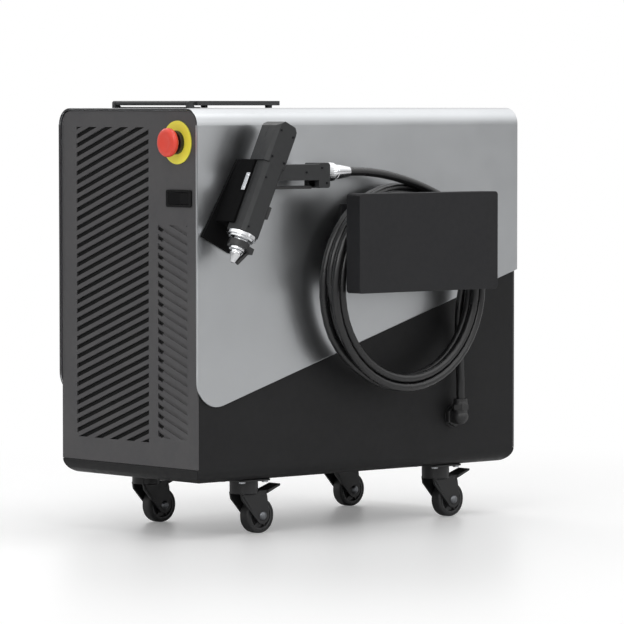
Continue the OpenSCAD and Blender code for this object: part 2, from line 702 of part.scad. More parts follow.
// One half of the gun's moulded shell, on the far side (1) or near side (-1) of its middle.
module gun_shell(side) difference() {
    gun_body(0);
    gun_body(gun_wall);
    block([0, side > 0 ? gun_y + seat - gun_t : gun_y, 0], [body_l, gun_t, body_top * 2]);
    // mouths for the core, hose collar, drawer and trigger lever
    on_gun() block([-core_x - seat, -core_y - seat, gun_l - 9], [2 * (core_x + seat), 2 * (core_y + seat), 12]);
    rod_x([grip_end - 6, gun_y, grip_z], collar_r, 12);
    on_gun() block([-front_half - 1, -10 - slip, drawer_a - slip], [front_half, 20 + 2 * slip, drawer_t + 2 * slip]);
    along_y(gun_y - lever_half - slip, 2 * (lever_half + slip)) {
        translate([pivot_u + 7, pivot_z]) square([22, 22], center = true);
        translate([lever_end - 2, pivot_z - 7]) square([12, 14]);
    }
}

// Inner half, which carries the trigger's pivot pin.
module gun_shell_inner() color([0.2, 0.2, 0.2]) {
    gun_shell(1);
    rod_y([pivot_u, gun_y - lever_half - 1, pivot_z], lever_pin_r, lever_half + 2 + gun_t / 2 - edge_chamfer);
}

// Outer half, with the socket of the pivot pin's end.
module gun_shell_outer() color([0.2, 0.2, 0.2]) difference() {
    gun_shell(-1);
    rod_y([pivot_u, gun_y - lever_half - 2, pivot_z], lever_pin_r + run, 3);
}

core_x = 9;
core_y = 12;
beam_r = 6;

// Aluminium optics core with the beam's bore, cut across for the lens drawer.
module gun_core() color([0.7, 0.71, 0.72]) difference() {
    on_gun() difference() {
        block([-core_x, -core_y, 12], [2 * core_x, 2 * core_y, gun_l - 12]);
        translate([0, 0, 30]) cylinder(r = beam_r, h = gun_l);
        block([-core_x - 1, -10 - slip, drawer_a - slip], [core_x + 1 + 7 + slip, 20 + 2 * slip, drawer_t + 2 * slip]);
    }
    // room for the trigger lever's end
    along_y(gun_y - lever_half - 1, 2 * (lever_half + 1)) translate([pivot_u, pivot_z]) circle(7);
}

// Squeeze lever under the grip.
module gun_trigger() color([0.12, 0.12, 0.12]) along_y(gun_y - lever_half, 2 * lever_half) difference() {
    union() {
        translate([pivot_u, pivot_z]) circle(4);
        polygon([[pivot_u, pivot_z - 4], [pivot_u + 12, butt_z - 1], [lever_end, butt_z - 1],
            [lever_end, butt_z - 1 + lever_t], [pivot_u + 14, butt_z - 1 + lever_t], [pivot_u, pivot_z + 4]]);
    }
    translate([pivot_u, pivot_z]) circle(lever_pin_r + run);
}

// Drawer that holds the protective lens, with a pull tab outside.
module lens_drawer() color([0.14, 0.14, 0.14]) on_gun() difference() {
    union() {
        block([-front_half - 3, -10, drawer_a], [front_half + 3 + 7, 20, drawer_t]);
        block([-front_half - 7, -12, drawer_a - 1], [5, 24, drawer_t + 8]);
    }
    translate([0, 0, drawer_a - 1]) cylinder(r = beam_r, h = drawer_t + 2);
}

tube_r = 11;
tube_a = gun_l + 8 + seat;

// Silver flange on the front of the core.
module gun_flange() color([0.75, 0.76, 0.77]) on_gun() difference() {
    union() {
        translate([0, 0, gun_l + seat]) cylinder(r = flange_d / 2, h = 5);
        translate([0, 0, gun_l + seat]) cylinder(r = flange_d / 2 - 3, h = 8 - seat);
    }
    translate([0, 0, gun_l - 1]) cylinder(r = beam_r, h = 12);
}

// Silver tube that carries the nozzle.
module nozzle_tube() color([0.72, 0.73, 0.74]) on_gun() difference() {
    translate([0, 0, tube_a]) cylinder(r = tube_r, h = 16);
    translate([0, 0, tube_a - 1]) cylinder(r = 5, h = 18);
}

// Plated copper nozzle.
module nozzle_tip() color([0.74, 0.74, 0.75]) on_gun() difference() {
    union() {
        translate([0, 0, tube_a + 16 + seat]) cylinder(r = 8, h = 5);
        translate([0, 0, tube_a + 21]) cylinder(r1 = 8, r2 = nozzle_mouth_d / 2 + 1.2, h = 13);
    }
    translate([0, 0, tube_a + 10]) cylinder(r = nozzle_mouth_d / 2, h = 30);
}

// Clamp and arm that lead the filler wire to the nozzle's mouth.
module wire_guide() color([0.13, 0.13, 0.13]) on_gun() difference() {
    union() {
        translate([0, 0, tube_a + 3]) cylinder(r = tube_r + 4, h = 9);
        block([-tube_r - 14, -5, tube_a + 3], [14, 10, 9]);
        translate([-tube_r - 10, 0, tube_a + 7]) rotate([0, 28, 0]) cylinder(r = 3, h = 28);
    }
    translate([0, 0, tube_a]) cylinder(r = tube_r + run, h = 20);
}

collar_r = 9;
connector_end = 238;

// Silver collar and sleeve that join the hose to the grip.
module hose_connector() color([0.78, 0.79, 0.8]) difference() {
    union() {
        rod_x([grip_end - 5, gun_y, grip_z], collar_r - run, 6);
        rod_x([grip_end + seat, gun_y, grip_z], 13, 18);
        rod_x([grip_end + 18, gun_y, grip_z], 10.5, 10);
        translate([grip_end + 27, gun_y, grip_z]) rotate([0, 90, 0])
            cylinder(r1 = 10.5, r2 = hose_d / 2 + 1.5, h = connector_end - grip_end - 27);
    }
    rod_x([connector_end - 14, gun_y, grip_z], hose_d / 2 + run, 20);
}

holder_a0 = shoulder + slip;
holder_a1 = 156;
holder_wall = 4;

// Holder: a tilted back plate and a channel that the gun's shoulder rests on.
module gun_holder() color([0.1, 0.1, 0.1]) on_gun() {
    in_x = front_half + slip;
    floor_y = gun_t / 2 + slip;
    back_y = gun_p - 4;
    plate_half = in_x + holder_wall;
    translate([0, back_y + 4 - seat, 0]) rotate([90, 0, 0]) linear_extrude(4 - seat)
        polygon([[-plate_half - 2, holder_a0], [plate_half, holder_a0], [plate_half + 13, 186], [-plate_half - 2, 186]]);
    difference() {
        block([-in_x - holder_wall, floor_y, 92], [2 * (in_x + holder_wall), back_y - floor_y, holder_a1 - 92]);
        block([-in_x + 6, floor_y - 1, 104], [2 * (in_x - 6), back_y - floor_y + 1, holder_a1 - 116]);
    }
    block([in_x, 2, holder_a0], [holder_wall, back_y - 2, holder_a1 - holder_a0]);
    block([-in_x - holder_wall, 2, 97], [holder_wall, back_y - 2, 15]);
    block([-in_x - holder_wall, 2, 140], [holder_wall, back_y - 2, holder_a1 - 140]);
}

// Sprung steel strip on the holder's outer wall, held by two rivets.
module holder_clip() color([0.8, 0.81, 0.82]) on_gun() {
    x = front_half + slip + holder_wall + seat;
    block([x, 1, 83], [1.2, 7, 26]);
    for (a = [87, 105]) translate([x + 1, 4.5, a]) rotate([0, 90, 0]) cylinder(r = 1.6, h = 1);
}

// ---------------------------------------------------------------- hose

// The gun's run lies straight behind the connector, then sags to the top of the coil,
// which it meets at this angle from three o'clock.
leave = 67;
hose_mid = coil_r - 6;       // radius of the coil's outer turns
leave_at = [coil_u + hose_mid * cos(leave), gun_y - 5.8, coil_z + hose_mid * sin(leave)];
sag_u = connector_end + 12;
hose_gun_route = concat([[connector_end - 6, gun_y, grip_z]], [for (i = [0 : 7]) let(f = i / 7)
    [sag_u + (leave_at.x - sag_u) * f, gun_y + (leave_at.y - gun_y) * f * f, grip_z - (grip_z - leave_at.z) * pow(f, 1.94)]]);

// The cabinet's run, from its elbow to the coil.
hose_body_route = [[484, -17.5, 156], [484, -17.5, 180], [484.5, -17, 201], [485, -15, 226],
    [485, -13.5, 252], [484, -13.8, 278], [482.5, -16.5, 301], [481.3, -21, 324], [480.7, -26, 342]];

// Catmull-Rom point on a route: t counts its stretches.
function route_at(p, t) = let(i = min(floor(t), len(p) - 2), f = t - i,
    a = p[max(i - 1, 0)], b = p[i], c = p[i + 1], d = p[min(i + 2, len(p) - 1)])
    0.5 * (2 * b + (c - a) * f + (2 * a - 5 * b + 4 * c - d) * f * f + (3 * b - a - 3 * c + d) * f * f * f);
function unit(v) = v / norm(v);
function heading(p, i) = unit(p[min(i + 1, len(p) - 1)] - p[max(i - 1, 0)]);

// Round tube of the hose's diameter along a route, two rings to a stretch.
module hose_tube(route) {
    sides = 10;
    steps = 2;                  // rings to a stretch
    path = [for (i = [0 : (len(route) - 1) * steps]) route_at(route, i / steps)];
    rings = [for (i = [0 : len(path) - 1]) let(h = heading(path, i),
        across = unit(cross(h, [0, 1, 0.2])), up = cross(across, h))
        [for (k = [0 : sides - 1]) path[i]
            + hose_d / 2 * (cos(360 * k / sides) * across + sin(360 * k / sides) * up)]];
    points = [for (r = rings, q = r) q];
    last = (len(rings) - 1) * sides;
    polyhedron(points, concat(
        [[for (k = [sides - 1 : -1 : 0]) k]],
        [for (i = [0 : len(rings) - 2], k = [0 : sides - 1])
            [i * sides + k, i * sides + (k + 1) % sides, (i + 1) * sides + (k + 1) % sides, (i + 1) * sides + k]],
        [[for (k = [0 : sides - 1]) last + k]]));
}

module hose_run_gun() color([0.05, 0.05, 0.05]) hose_tube(hose_gun_route);
module hose_run_body() color([0.05, 0.05, 0.05]) hose_tube(hose_body_route);

// Outer form of the hanging coil.
module hose_coil() color([0.05, 0.05, 0.05])
    translate([coil_u, side_y - coil_p, coil_z]) rotate([90, 0, 0]) rotate_extrude($fn = 96)
        translate([coil_in, 0]) square([coil_r - coil_in, coil_w]);

// ---------------------------------------------------------------- inside

sink_u = 130;
sink_y = 92;
sink_w = 180;
fin_t = 3;
fin_pitch = 14.75;
sink_plate = 10;
sink_top = deck_z + sink_h;

// Finned heat sink: fins down, module on top.
module heat_sink() color([0.7, 0.71, 0.72]) {
    block([sink_u, sink_y, sink_top - sink_plate], [module_l, sink_w, sink_plate]);
    for (i = [0 : 12]) block([sink_u, sink_y + i * fin_pitch, deck_z], [module_l, fin_t, sink_h - sink_plate + 1]);
}

module_h = 76;
module_z = sink_top + seat;

// Sealed laser source with a lid, its fiber outlet and a terminal block.
module laser_module() color([0.5, 0.52, 0.55]) {
    block([sink_u, sink_y, module_z], [module_l, sink_w, module_h]);
    translate([sink_u + module_l / 2, sink_y + sink_w / 2, module_z + module_h - 1])
        linear_extrude(4) rounded([module_l - 12, sink_w - 12], 5);
    rod_x([sink_u - 26, sink_y + 40, module_z + 38], 9, 27);
    block([sink_u + module_l - 1, sink_y + 50, module_z + 16], [15, 70, 24]);
}

board_z = module_z + module_h + 3;

// Controller board on four pillars.
module control_board() color([0.1, 0.4, 0.2]) {
    u = sink_u + 40;
    y = sink_y + 20;
    for (i = [6, 164], j = [6, 114]) translate([u + i, y + j, board_z + seat]) cylinder(r = 3, h = 9);
    block([u, y, board_z + 9], [170, 120, 1.6]);
    block([u + 20, y + 15, board_z + 10], [28, 28, 3.6]);
    block([u + 70, y + 12, board_z + 10], [50, 16, 12]);
    for (i = [0 : 3]) translate([u + 30 + i * 26, y + 86, board_z + 10]) cylinder(r = 8, h = 20);
}

// Enclosed power supply beside the heat sink.
module power_supply() color([0.75, 0.76, 0.77]) {
    block([250, 24, deck_z], [230, 60, 120]);
    block([240, 30, deck_z + 10], [11, 48, 30]);
}

hub_r = 24;
shaft_r = 4;

// Square fan frames with a bore, a motor and four spokes.
module fan_frames() color([0.1, 0.1, 0.1]) for (z = fan_z) {
    difference() {
        block([fan_u, fan_y - fan_size / 2, z - fan_size / 2], [fan_t, fan_size, fan_size]);
        rod_x([fan_u - 1, fan_y, z], fan_bore_r, fan_t + 2);
        for (i = [-1, 1], j = [-1, 1])
            rod_x([fan_u - 1, fan_y + i * (fan_size / 2 - 9), z + j * (fan_size / 2 - 9)], 2.2, fan_t + 2);
    }
    rod_x([fan_u + fan_t - 8, fan_y, z], hub_r, 8);
    for (i = [0 : 3]) translate([fan_u + fan_t - 5, fan_y, z]) rotate([45 + i * 90, 0, 0])
        block([0, hub_r - 1, -3], [5, fan_bore_r - hub_r + 2, 6]);
    rod_x([fan_u + 6 + slip, fan_y, z], shaft_r, fan_t - 13 - slip);
}

// Fan rotor: a hub on the frame's shaft and seven pitched blades.
module fan_rotor(z) color([0.18, 0.18, 0.18]) difference() {
    depth = fan_t - 14;
    union() {
        rod_x([fan_u + 4, fan_y, z], hub_r, depth);
        intersection() {
            rod_x([fan_u + 4.5, fan_y, z], fan_bore_r - 2, depth - 1);
            for (i = [0 : 6]) translate([fan_u + 4 + depth / 2, fan_y, z]) rotate([i * 360 / 7, 0, 0])
                translate([0, 0, hub_r - 2]) rotate([0, 0, 52])
                    block([-14, -1, 0], [28, 2, fan_bore_r - hub_r]);
        }
    }
    rod_x([fan_u + 6, fan_y, z], shaft_r + run, depth);
}

// Gas valve inside the rear wall, with its inlet through the panel.
module gas_valve() color([0.74, 0.6, 0.3]) difference() {
    union() {
        block([body_l - bulk_u - bulk_t - seat - 44, gas_y - 18, gas_z - 16], [44, 36, 32]);
        rod_x([body_l - bulk_u - bulk_t - 4, gas_y, gas_z], gas_r, bulk_u + bulk_t + 4 + 6);
        rod_x([body_l + seat, gas_y, gas_z], gas_r + 4, 6);
        rod_x([body_l + 5, gas_y, gas_z], 6, rear_out - 5);
    }
    rod_x([body_l + rear_out - 20, gas_y, gas_z], 4, 21);
}

// Cable gland for the mains lead.
module power_gland() color([0.1, 0.1, 0.1]) difference() {
    union() {
        rod_x([body_l - panel_t - 16, power_y, power_z], power_r, panel_t + 16 + 2);
        rod_x([body_l + seat, power_y, power_z], power_r + 5, 8);
        rod_x([body_l + 7, power_y, power_z], power_r + 3, rear_out - 7);
        rod_x([body_l - panel_t - seat - 5, power_y, power_z], power_r + 4, 5);
    }
    rod_x([body_l - panel_t - 17, power_y, power_z], 6.5, panel_t + 18 + rear_out);
}

// Stud for the work clamp's lead, with its collar.
module earth_stud() color([0.75, 0.6, 0.35]) {
    rod_x([body_l - panel_t - 14, earth_y, earth_z], stud_d / 2, panel_t + 14 + rear_out);
    rod_x([body_l + seat, earth_y, earth_z], stud_d / 2 + 6, 4);
    rod_x([body_l - panel_t - seat - 4, earth_y, earth_z], stud_d / 2 + 5, 4);
}

// ---------------------------------------------------------------- placing

// Puts what is drawn from the cabinet's corner into the machine's own frame.
module at_cabinet() translate(corner) children();

at_cabinet() base_shell();
at_cabinet() chassis();
at_cabinet() cover_top();
at_cabinet() cover_near_side();
at_cabinet() cover_far_side();
at_cabinet() front_panel();
at_cabinet() rear_panel();
at_cabinet() panel_screws();
at_cabinet() caster_plates();
at_cabinet() estop_plate();
at_cabinet() estop_body();
at_cabinet() estop_stem();
at_cabinet() estop_knob();
at_cabinet() switch_housing();
at_cabinet() switch_rocker();
at_cabinet() screen_bracket();
at_cabinet() screen_housing();
at_cabinet() screen_glass();
at_cabinet() hose_hanger();
at_cabinet() hanger_box();
at_cabinet() hose_gland();
at_cabinet() gun_holder();
at_cabinet() holder_clip();
at_cabinet() gun_shell_inner();
at_cabinet() gun_shell_outer();
at_cabinet() gun_core();
at_cabinet() gun_trigger();
at_cabinet() lens_drawer();
at_cabinet() gun_flange();
at_cabinet() nozzle_tube();
at_cabinet() nozzle_tip();
at_cabinet() wire_guide();
at_cabinet() hose_connector();
at_cabinet() hose_run_gun();
at_cabinet() hose_coil();
at_cabinet() hose_run_body();
at_cabinet() heat_sink();
at_cabinet() laser_module();
at_cabinet() control_board();
at_cabinet() power_supply();
at_cabinet() fan_frames();
at_cabinet() fan_rotor(fan_z[0]);  // fan_rotor_1
at_cabinet() fan_rotor(fan_z[1]);  // fan_rotor_2
at_cabinet() gas_valve();
at_cabinet() power_gland();
at_cabinet() earth_stud();
for (i = CASTERS) {
    place = caster_xy[i - 1];
    at_cabinet() caster_fork(place);
    at_cabinet() caster_wheel(place);
    at_cabinet() caster_axle(place);
    at_cabinet() brake_pedal(place);
}
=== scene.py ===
# %% [markdown]
# # A handheld fiber laser welder on castors
# The real machine is a folded steel cabinet with a silver cover. A welding gun hangs in a holder on its
# side, and the gun's hose is coiled on a hanger beside it. The construction is already fixed: it is loaded
# here as a frame of exact pieces in metres. What is left to make is what the eye meets: rounded edges,
# turned and knurled fittings, a hose of its real length, and the finish of every surface.

# %% Load the frame
import json
import math

import bmesh
import bpy
from mathutils import Matrix, Vector

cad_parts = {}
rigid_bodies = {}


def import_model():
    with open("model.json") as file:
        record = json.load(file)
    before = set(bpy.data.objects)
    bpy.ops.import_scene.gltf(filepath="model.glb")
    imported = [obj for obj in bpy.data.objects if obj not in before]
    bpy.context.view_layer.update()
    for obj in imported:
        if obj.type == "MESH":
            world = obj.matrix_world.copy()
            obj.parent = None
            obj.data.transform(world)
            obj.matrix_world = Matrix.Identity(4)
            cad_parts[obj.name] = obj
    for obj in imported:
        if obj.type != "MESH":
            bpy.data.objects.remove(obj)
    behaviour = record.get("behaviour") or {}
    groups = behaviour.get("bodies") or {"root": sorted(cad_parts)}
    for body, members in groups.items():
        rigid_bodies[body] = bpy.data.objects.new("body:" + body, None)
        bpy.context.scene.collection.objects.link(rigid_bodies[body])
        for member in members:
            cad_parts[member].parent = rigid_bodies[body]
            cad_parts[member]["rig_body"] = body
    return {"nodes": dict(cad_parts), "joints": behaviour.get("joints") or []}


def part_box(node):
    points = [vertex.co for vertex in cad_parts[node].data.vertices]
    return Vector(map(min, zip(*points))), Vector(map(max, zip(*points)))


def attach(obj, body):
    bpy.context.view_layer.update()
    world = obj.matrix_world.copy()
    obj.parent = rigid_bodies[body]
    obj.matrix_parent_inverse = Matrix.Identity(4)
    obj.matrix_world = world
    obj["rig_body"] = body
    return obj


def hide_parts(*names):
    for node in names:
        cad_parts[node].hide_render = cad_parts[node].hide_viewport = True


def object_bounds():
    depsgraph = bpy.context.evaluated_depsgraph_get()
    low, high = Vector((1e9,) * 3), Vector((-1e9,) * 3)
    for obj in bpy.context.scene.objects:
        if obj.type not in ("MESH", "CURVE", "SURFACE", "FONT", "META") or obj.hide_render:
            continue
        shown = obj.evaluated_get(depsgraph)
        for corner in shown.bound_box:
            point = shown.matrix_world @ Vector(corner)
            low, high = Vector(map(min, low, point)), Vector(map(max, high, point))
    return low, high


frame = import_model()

CAD_BOX = [list(corner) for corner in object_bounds()]
print("CAD box", CAD_BOX)

# %% [markdown]
# ## Finding places
# Every place is taken from the frame, so that nothing has to be fitted by eye. The cabinet's own corner is
# where the front panel's face, the gun side and the floor meet. Sizes are easier to read in millimetres, so
# one short function turns cabinet millimetres into the frame's metres.

# %% Cabinet directions
MM = 0.001
front_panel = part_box("front_panel")
CORNER = Vector((front_panel[0].x, front_panel[0].y, 0))


def at(u, w, z):
    """A point u behind the front face, w in from the gun side and z above the floor, given in mm."""
    return CORNER + Vector((u, w, z)) * MM


def body_of(node):
    """Name of the body that a CAD node moves with."""
    return frame["nodes"][node]["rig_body"]


def joint(name):
    """The frame's joint of that name."""
    return next(j for j in frame["joints"] if j["name"] == name)


# %% [markdown]
# ## Camera
# A machine of this size is usually pictured with a long lens from a low place, so that its upright edges
# stay upright. The camera stands off the front corner on the gun side, a little above the middle.

# %% Camera
AZIMUTH = math.radians(-41.9)
ELEVATION = math.radians(2.8)
DISTANCE = 6.15              # metres from the machine's middle
LENS = 247                   # focal length in mm
middle = (Vector(CAD_BOX[0]) + Vector(CAD_BOX[1])) / 2
back = Vector((math.sin(AZIMUTH) * math.cos(ELEVATION), -math.cos(AZIMUTH) * math.cos(ELEVATION),
    math.sin(ELEVATION)))

camera = bpy.data.objects.new("camera", bpy.data.cameras.new("camera"))
bpy.context.scene.collection.objects.link(camera)
camera.location = middle + back * DISTANCE
camera.rotation_euler = back.to_track_quat("Z", "Y").to_euler()
camera.data.lens = LENS
camera.data.clip_end = 50
bpy.context.scene.camera = camera
print("camera at", camera.location)

# %% [markdown]
# ## The hose
# The gun's hose is one length of 12 mm tube with the fiber, gas tube and wires inside. It rises from an elbow
# on the cabinet's side, is wound five times round the hanger's saddle, and runs over to the gun's grip. A
# curve with a round bevel is the natural way to draw it, because its centreline keeps its length. Six places
# hold the turns, two across and three deep, so a turn steps over to the next place once in each round. The
# steps are set one after another, because a place has to be empty before the next turn can move into it.

# %% Hose sizes
# lengths are in mm and angles in degrees, and places are (behind the front, in from the gun side, height)
HOSE_D = 12
GUN_END = (232, -45.5, 507)    # in the connector's sleeve
COIL_CENTRE = (351, 342)
OUTER_RADIUS = 142
BACK_ROW = -26.65              # middle of the row of turns next to the cabinet
TURN_PITCH = HOSE_D + 0.3      # the turns lie a hair apart
LEAVE = 1867                   # winding angle at which the hose leaves for the gun
WIND_BY = 8                    # degrees between points of the coil
SAG_FROM = 250                 # how far behind the front the hose starts to sag
SAG_POINTS = 7
SAG_POWER = 1.94               # how fast the sag steepens towards the coil
# the run from the elbow up behind the hanger to the coil's three o'clock
BODY_RUN = [(484, -17.5, 156), (484, -17.5, 180), (484.5, -17, 201), (485, -15, 226), (485, -13.5, 252),
    (484, -13.8, 278), (482.5, -16.5, 301), (481.3, -21, 324), (480.7, -26, 342)]

# Each place of a turn: how many pitches in from the outer radius, how many out from the back row, and the
# winding angle in degrees at which the hose steps on to the next place.
PLACES = [(1, 0, 265), (0, 0, 585), (0, 1, 905), (1, 1, 1225), (1, 2, 1545), (0, 2, None)]
STEP = 40                      # degrees that one step over takes
print("hose", HOSE_D, "mm thick, wound", round(LEAVE / 360, 1), "times")

# %% Hose route


def smooth(x):
    """Eases from 0 to 1."""
    x = min(max(x, 0.0), 1.0)
    return x * x * (3 - 2 * x)


def coil_point(angle):
    """The hose's middle at a winding angle in degrees, counted from three o'clock."""
    inward, outward = PLACES[0][:2]
    for (a_in, a_out, turn), (b_in, b_out, _) in zip(PLACES, PLACES[1:]):
        share = smooth((angle - turn + STEP / 2) / STEP)
        inward += (b_in - a_in) * share
        outward += (b_out - a_out) * share
    radius = OUTER_RADIUS - inward * TURN_PITCH
    around = math.radians(angle)
    return (COIL_CENTRE[0] + radius * math.cos(around), BACK_ROW - outward * TURN_PITCH,
        COIL_CENTRE[1] + radius * math.sin(around))


def through(points, steps=4):
    """Points of a smooth line that passes through all the given ones."""
    p = [Vector(q) for q in points]
    p = [p[0] * 2 - p[1]] + p + [p[-1] * 2 - p[-2]]
    line = []
    for a, b, c, d in zip(p, p[1:], p[2:], p[3:]):
        for k in range(steps):
            f = k / steps
            line.append(0.5 * (2 * b + (c - a) * f + (2 * a - 5 * b + 4 * c - d) * f * f
                + (3 * b - a - 3 * c + d) * f ** 3))
    return line + [p[-2]]


wound = [coil_point(angle) for angle in range(WIND_BY, LEAVE - WIND_BY // 2, WIND_BY)]
leave = coil_point(LEAVE)
sag = []
for f in (k / SAG_POINTS for k in range(SAG_POINTS, -1, -1)):
    sag.append((SAG_FROM + (leave[0] - SAG_FROM) * f, GUN_END[1] + (leave[1] - GUN_END[1]) * f ** 2,
        GUN_END[2] - (GUN_END[2] - leave[2]) * f ** SAG_POWER))
hose_line = [at(*q) for q in through(BODY_RUN) + wound + through(sag + [GUN_END])]

# %% Hose curve
hose_data = bpy.data.curves.new("hose", "CURVE")
hose_data.dimensions = "3D"
# the hose's radius is set on the points and multiplies this depth, because Blender adds it to the curve's box
hose_data.bevel_depth = 1
hose_data.bevel_resolution = 5
hose_data.use_fill_caps = True
spline = hose_data.splines.new("POLY")
spline.points.add(len(hose_line) - 1)
for point, place in zip(spline.points, hose_line):
    point.co = (*place, 1)
    point.radius = HOSE_D / 2 * MM
spline.use_smooth = True
hose = bpy.data.objects.new("hose", hose_data)
bpy.context.scene.collection.objects.link(hose)
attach(hose, "cabinet")
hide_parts("hose_run_gun", "hose_coil", "hose_run_body")

# %% [markdown]
# ## Floor and light
# The machine stands in a bright studio. The floor is a pale plane that keeps the machine's shadow and fades
# into the white of the room. The camera sees a white world. Reflections see a room whose ceiling is brighter
# than its walls, and the machine is lit only as much as a room would light it. Straight overhead a mirror
# sees the top lamp instead, so there the ceiling fades and the silver cover keeps its tone. Large soft lamps
# add the shape: one over the front corner, one above, whose reflection runs along the cover's rolled top
# edge, and weak ones for the sides.

# %% Colours and nodes


def colour(code):
    """An sRGB hex code as linear RGBA."""
    parts = [int(code[i:i + 2], 16) / 255 for i in (1, 3, 5)]
    return tuple(c / 12.92 if c <= 0.04045 else ((c + 0.055) / 1.055) ** 2.4 for c in parts) + (1.0,)


def add(tree, kind, inputs=None, **settings):
    """Adds a node. Settings are its attributes; inputs are socket values, or sockets to link from."""
    made = tree.nodes.new(kind)
    for name, value in settings.items():
        setattr(made, name, value)
    for socket, value in (inputs or {}).items():
        if isinstance(value, bpy.types.NodeSocket):
            tree.links.new(value, made.inputs[socket])
        else:
            made.inputs[socket].default_value = value
    return made


print("pure red is", colour("#ff0000"))

# %% World
WORLD_LIGHT = 0.42                # what the room alone gives, where 1 is white
WALLS, CEILING = 0.5, 1.9         # what reflections see near the horizon and overhead
OVERHEAD = 0.25                   # share of the ceiling that is left straight above
SKY = (0.1, 0.75, 0.95)           # heights where the walls end, the ceiling is brightest, and it has faded
world = bpy.data.worlds.new("studio")
bpy.context.scene.world = world
world.use_nodes = True
tree = world.node_tree
ray = add(tree, "ShaderNodeLightPath")
upwards = add(tree, "ShaderNodeSeparateXYZ", {0: add(tree, "ShaderNodeTexCoord").outputs["Generated"]})
rising = add(tree, "ShaderNodeMapRange", {"Value": upwards.outputs["Z"], "From Min": SKY[0],
    "From Max": SKY[1], "To Min": WALLS, "To Max": CEILING})
fading = add(tree, "ShaderNodeMapRange", {"Value": upwards.outputs["Z"], "From Min": SKY[1],
    "From Max": SKY[2], "To Min": 1.0, "To Max": OVERHEAD})
mirrored = add(tree, "ShaderNodeMath", {0: rising.outputs["Result"], 1: fading.outputs["Result"]},
    operation="MULTIPLY")
shiny = add(tree, "ShaderNodeMath", {0: ray.outputs["Is Glossy Ray"], 1: ray.outputs["Is Transmission Ray"]},
    operation="MAXIMUM")
given = add(tree, "ShaderNodeMix", {0: shiny.outputs[0], 2: WORLD_LIGHT, 3: mirrored.outputs[0]})
strength = add(tree, "ShaderNodeMix", {0: ray.outputs["Is Camera Ray"], 2: given.outputs[0], 3: 1.0})
background = tree.nodes["Background"]
background.inputs["Color"].default_value = (1, 1, 1, 1)
tree.links.new(strength.outputs[0], background.inputs["Strength"])
print("room light", WORLD_LIGHT, "walls", WALLS, "ceiling", CEILING)

# %% Floor
FLOOR_SIZE = 40                   # metres
GLOW = 0.17                       # lifts the pale floor for the camera alone
FADE_FROM, FADE_TO = 0.55, 1.5    # metres from the middle, over which the floor turns to the room's white
bpy.ops.mesh.primitive_plane_add(size=FLOOR_SIZE, location=(0, 0, 0))
floor = bpy.context.object
floor.name = "floor"
floor_finish = bpy.data.materials.new("painted floor")
floor_finish.use_nodes = True
tree = floor_finish.node_tree
shader = tree.nodes["Principled BSDF"]
shader.inputs["Base Color"].default_value = colour("#f4f4f4")
shader.inputs["Roughness"].default_value = 0.35
ray = add(tree, "ShaderNodeLightPath")
glow = add(tree, "ShaderNodeMapRange", {"Value": ray.outputs["Is Camera Ray"], "To Min": 0.0, "To Max": GLOW})
shader.inputs["Emission Color"].default_value = (1, 1, 1, 1)
tree.links.new(glow.outputs["Result"], shader.inputs["Emission Strength"])
reach = add(tree, "ShaderNodeVectorMath", {0: add(tree, "ShaderNodeTexCoord").outputs["Object"]},
    operation="LENGTH")
far = add(tree, "ShaderNodeMapRange", {"Value": reach.outputs["Value"], "From Min": FADE_FROM,
    "From Max": FADE_TO}, interpolation_type="SMOOTHSTEP")
fade = add(tree, "ShaderNodeMath", {0: far.outputs["Result"], 1: ray.outputs["Is Camera Ray"]},
    operation="MULTIPLY")
white = add(tree, "ShaderNodeEmission", {"Strength": 1.0})
mixed = add(tree, "ShaderNodeMixShader", {0: fade.outputs[0], 1: shader.outputs[0], 2: white.outputs[0]})
tree.links.new(mixed.outputs[0], tree.nodes["Material Output"].inputs["Surface"])
floor.data.materials.append(floor_finish)
print("floor", FLOOR_SIZE, "m wide, white from", FADE_TO, "m out")

# %% Lamps


def lamp(name, place, size, radiance):
    """A square soft lamp aimed at the machine. Its radiance is about what a mirror shows; 1 is white."""
    data = bpy.data.lights.new(name, "AREA")
    data.shape = "SQUARE"
    data.size = size
    data.energy = radiance * math.pi * size ** 2
    made = bpy.data.objects.new(name, data)
    bpy.context.scene.collection.objects.link(made)
    made.location = place
    made.rotation_euler = (Vector(place) - middle).to_track_quat("Z", "Y").to_euler()


lamp("key", place=(-3.4, -2.2, 2.6), size=2.2, radiance=2.6)
lamp("top", place=(0.2, -0.6, 3.4), size=2.4, radiance=2.4)
lamp("side", place=(1.6, -3.6, 1.6), size=1.8, radiance=1.2)
lamp("far side", place=(1.0, 3.4, 2.4), size=2.0, radiance=1.6)

# %% [markdown]
# ## Finishes
# Each finish starts from what the real surface is and how it was made. Powder coat is polyester melted on to
# steel: it levels into faint ripples, like an orange's skin, about a millimetre apart. Moulded plastic takes
# the spark-eroded grain of its mould, which is finer than half a millimetre and would not show, so it is
# drawn a little coarser. These are bumps far too small to model, so noise of a size in millimetres drives a
# bump node. Bead blasting is finer still: nothing but its blur reaches the eye, and that is roughness.

# %% Pattern helpers


def noise(tree, size, low, high, detail=2.0, stretch=(1, 1, 1)):
    """Noise with grains of a size in mm, remapped to run from low to high."""
    place = add(tree, "ShaderNodeTexCoord")
    scaled = add(tree, "ShaderNodeMapping", {"Vector": place.outputs["Object"], "Scale": stretch})
    grain = add(tree, "ShaderNodeTexNoise", {"Vector": scaled.outputs["Vector"], "Scale": 1 / (size * MM),
        "Detail": detail})
    # nearly all of a noise's values lie between 0.3 and 0.7
    return add(tree, "ShaderNodeMapRange", {"Value": grain.outputs["Fac"], "From Min": 0.3, "From Max": 0.7,
        "To Min": low, "To Max": high}).outputs["Result"]


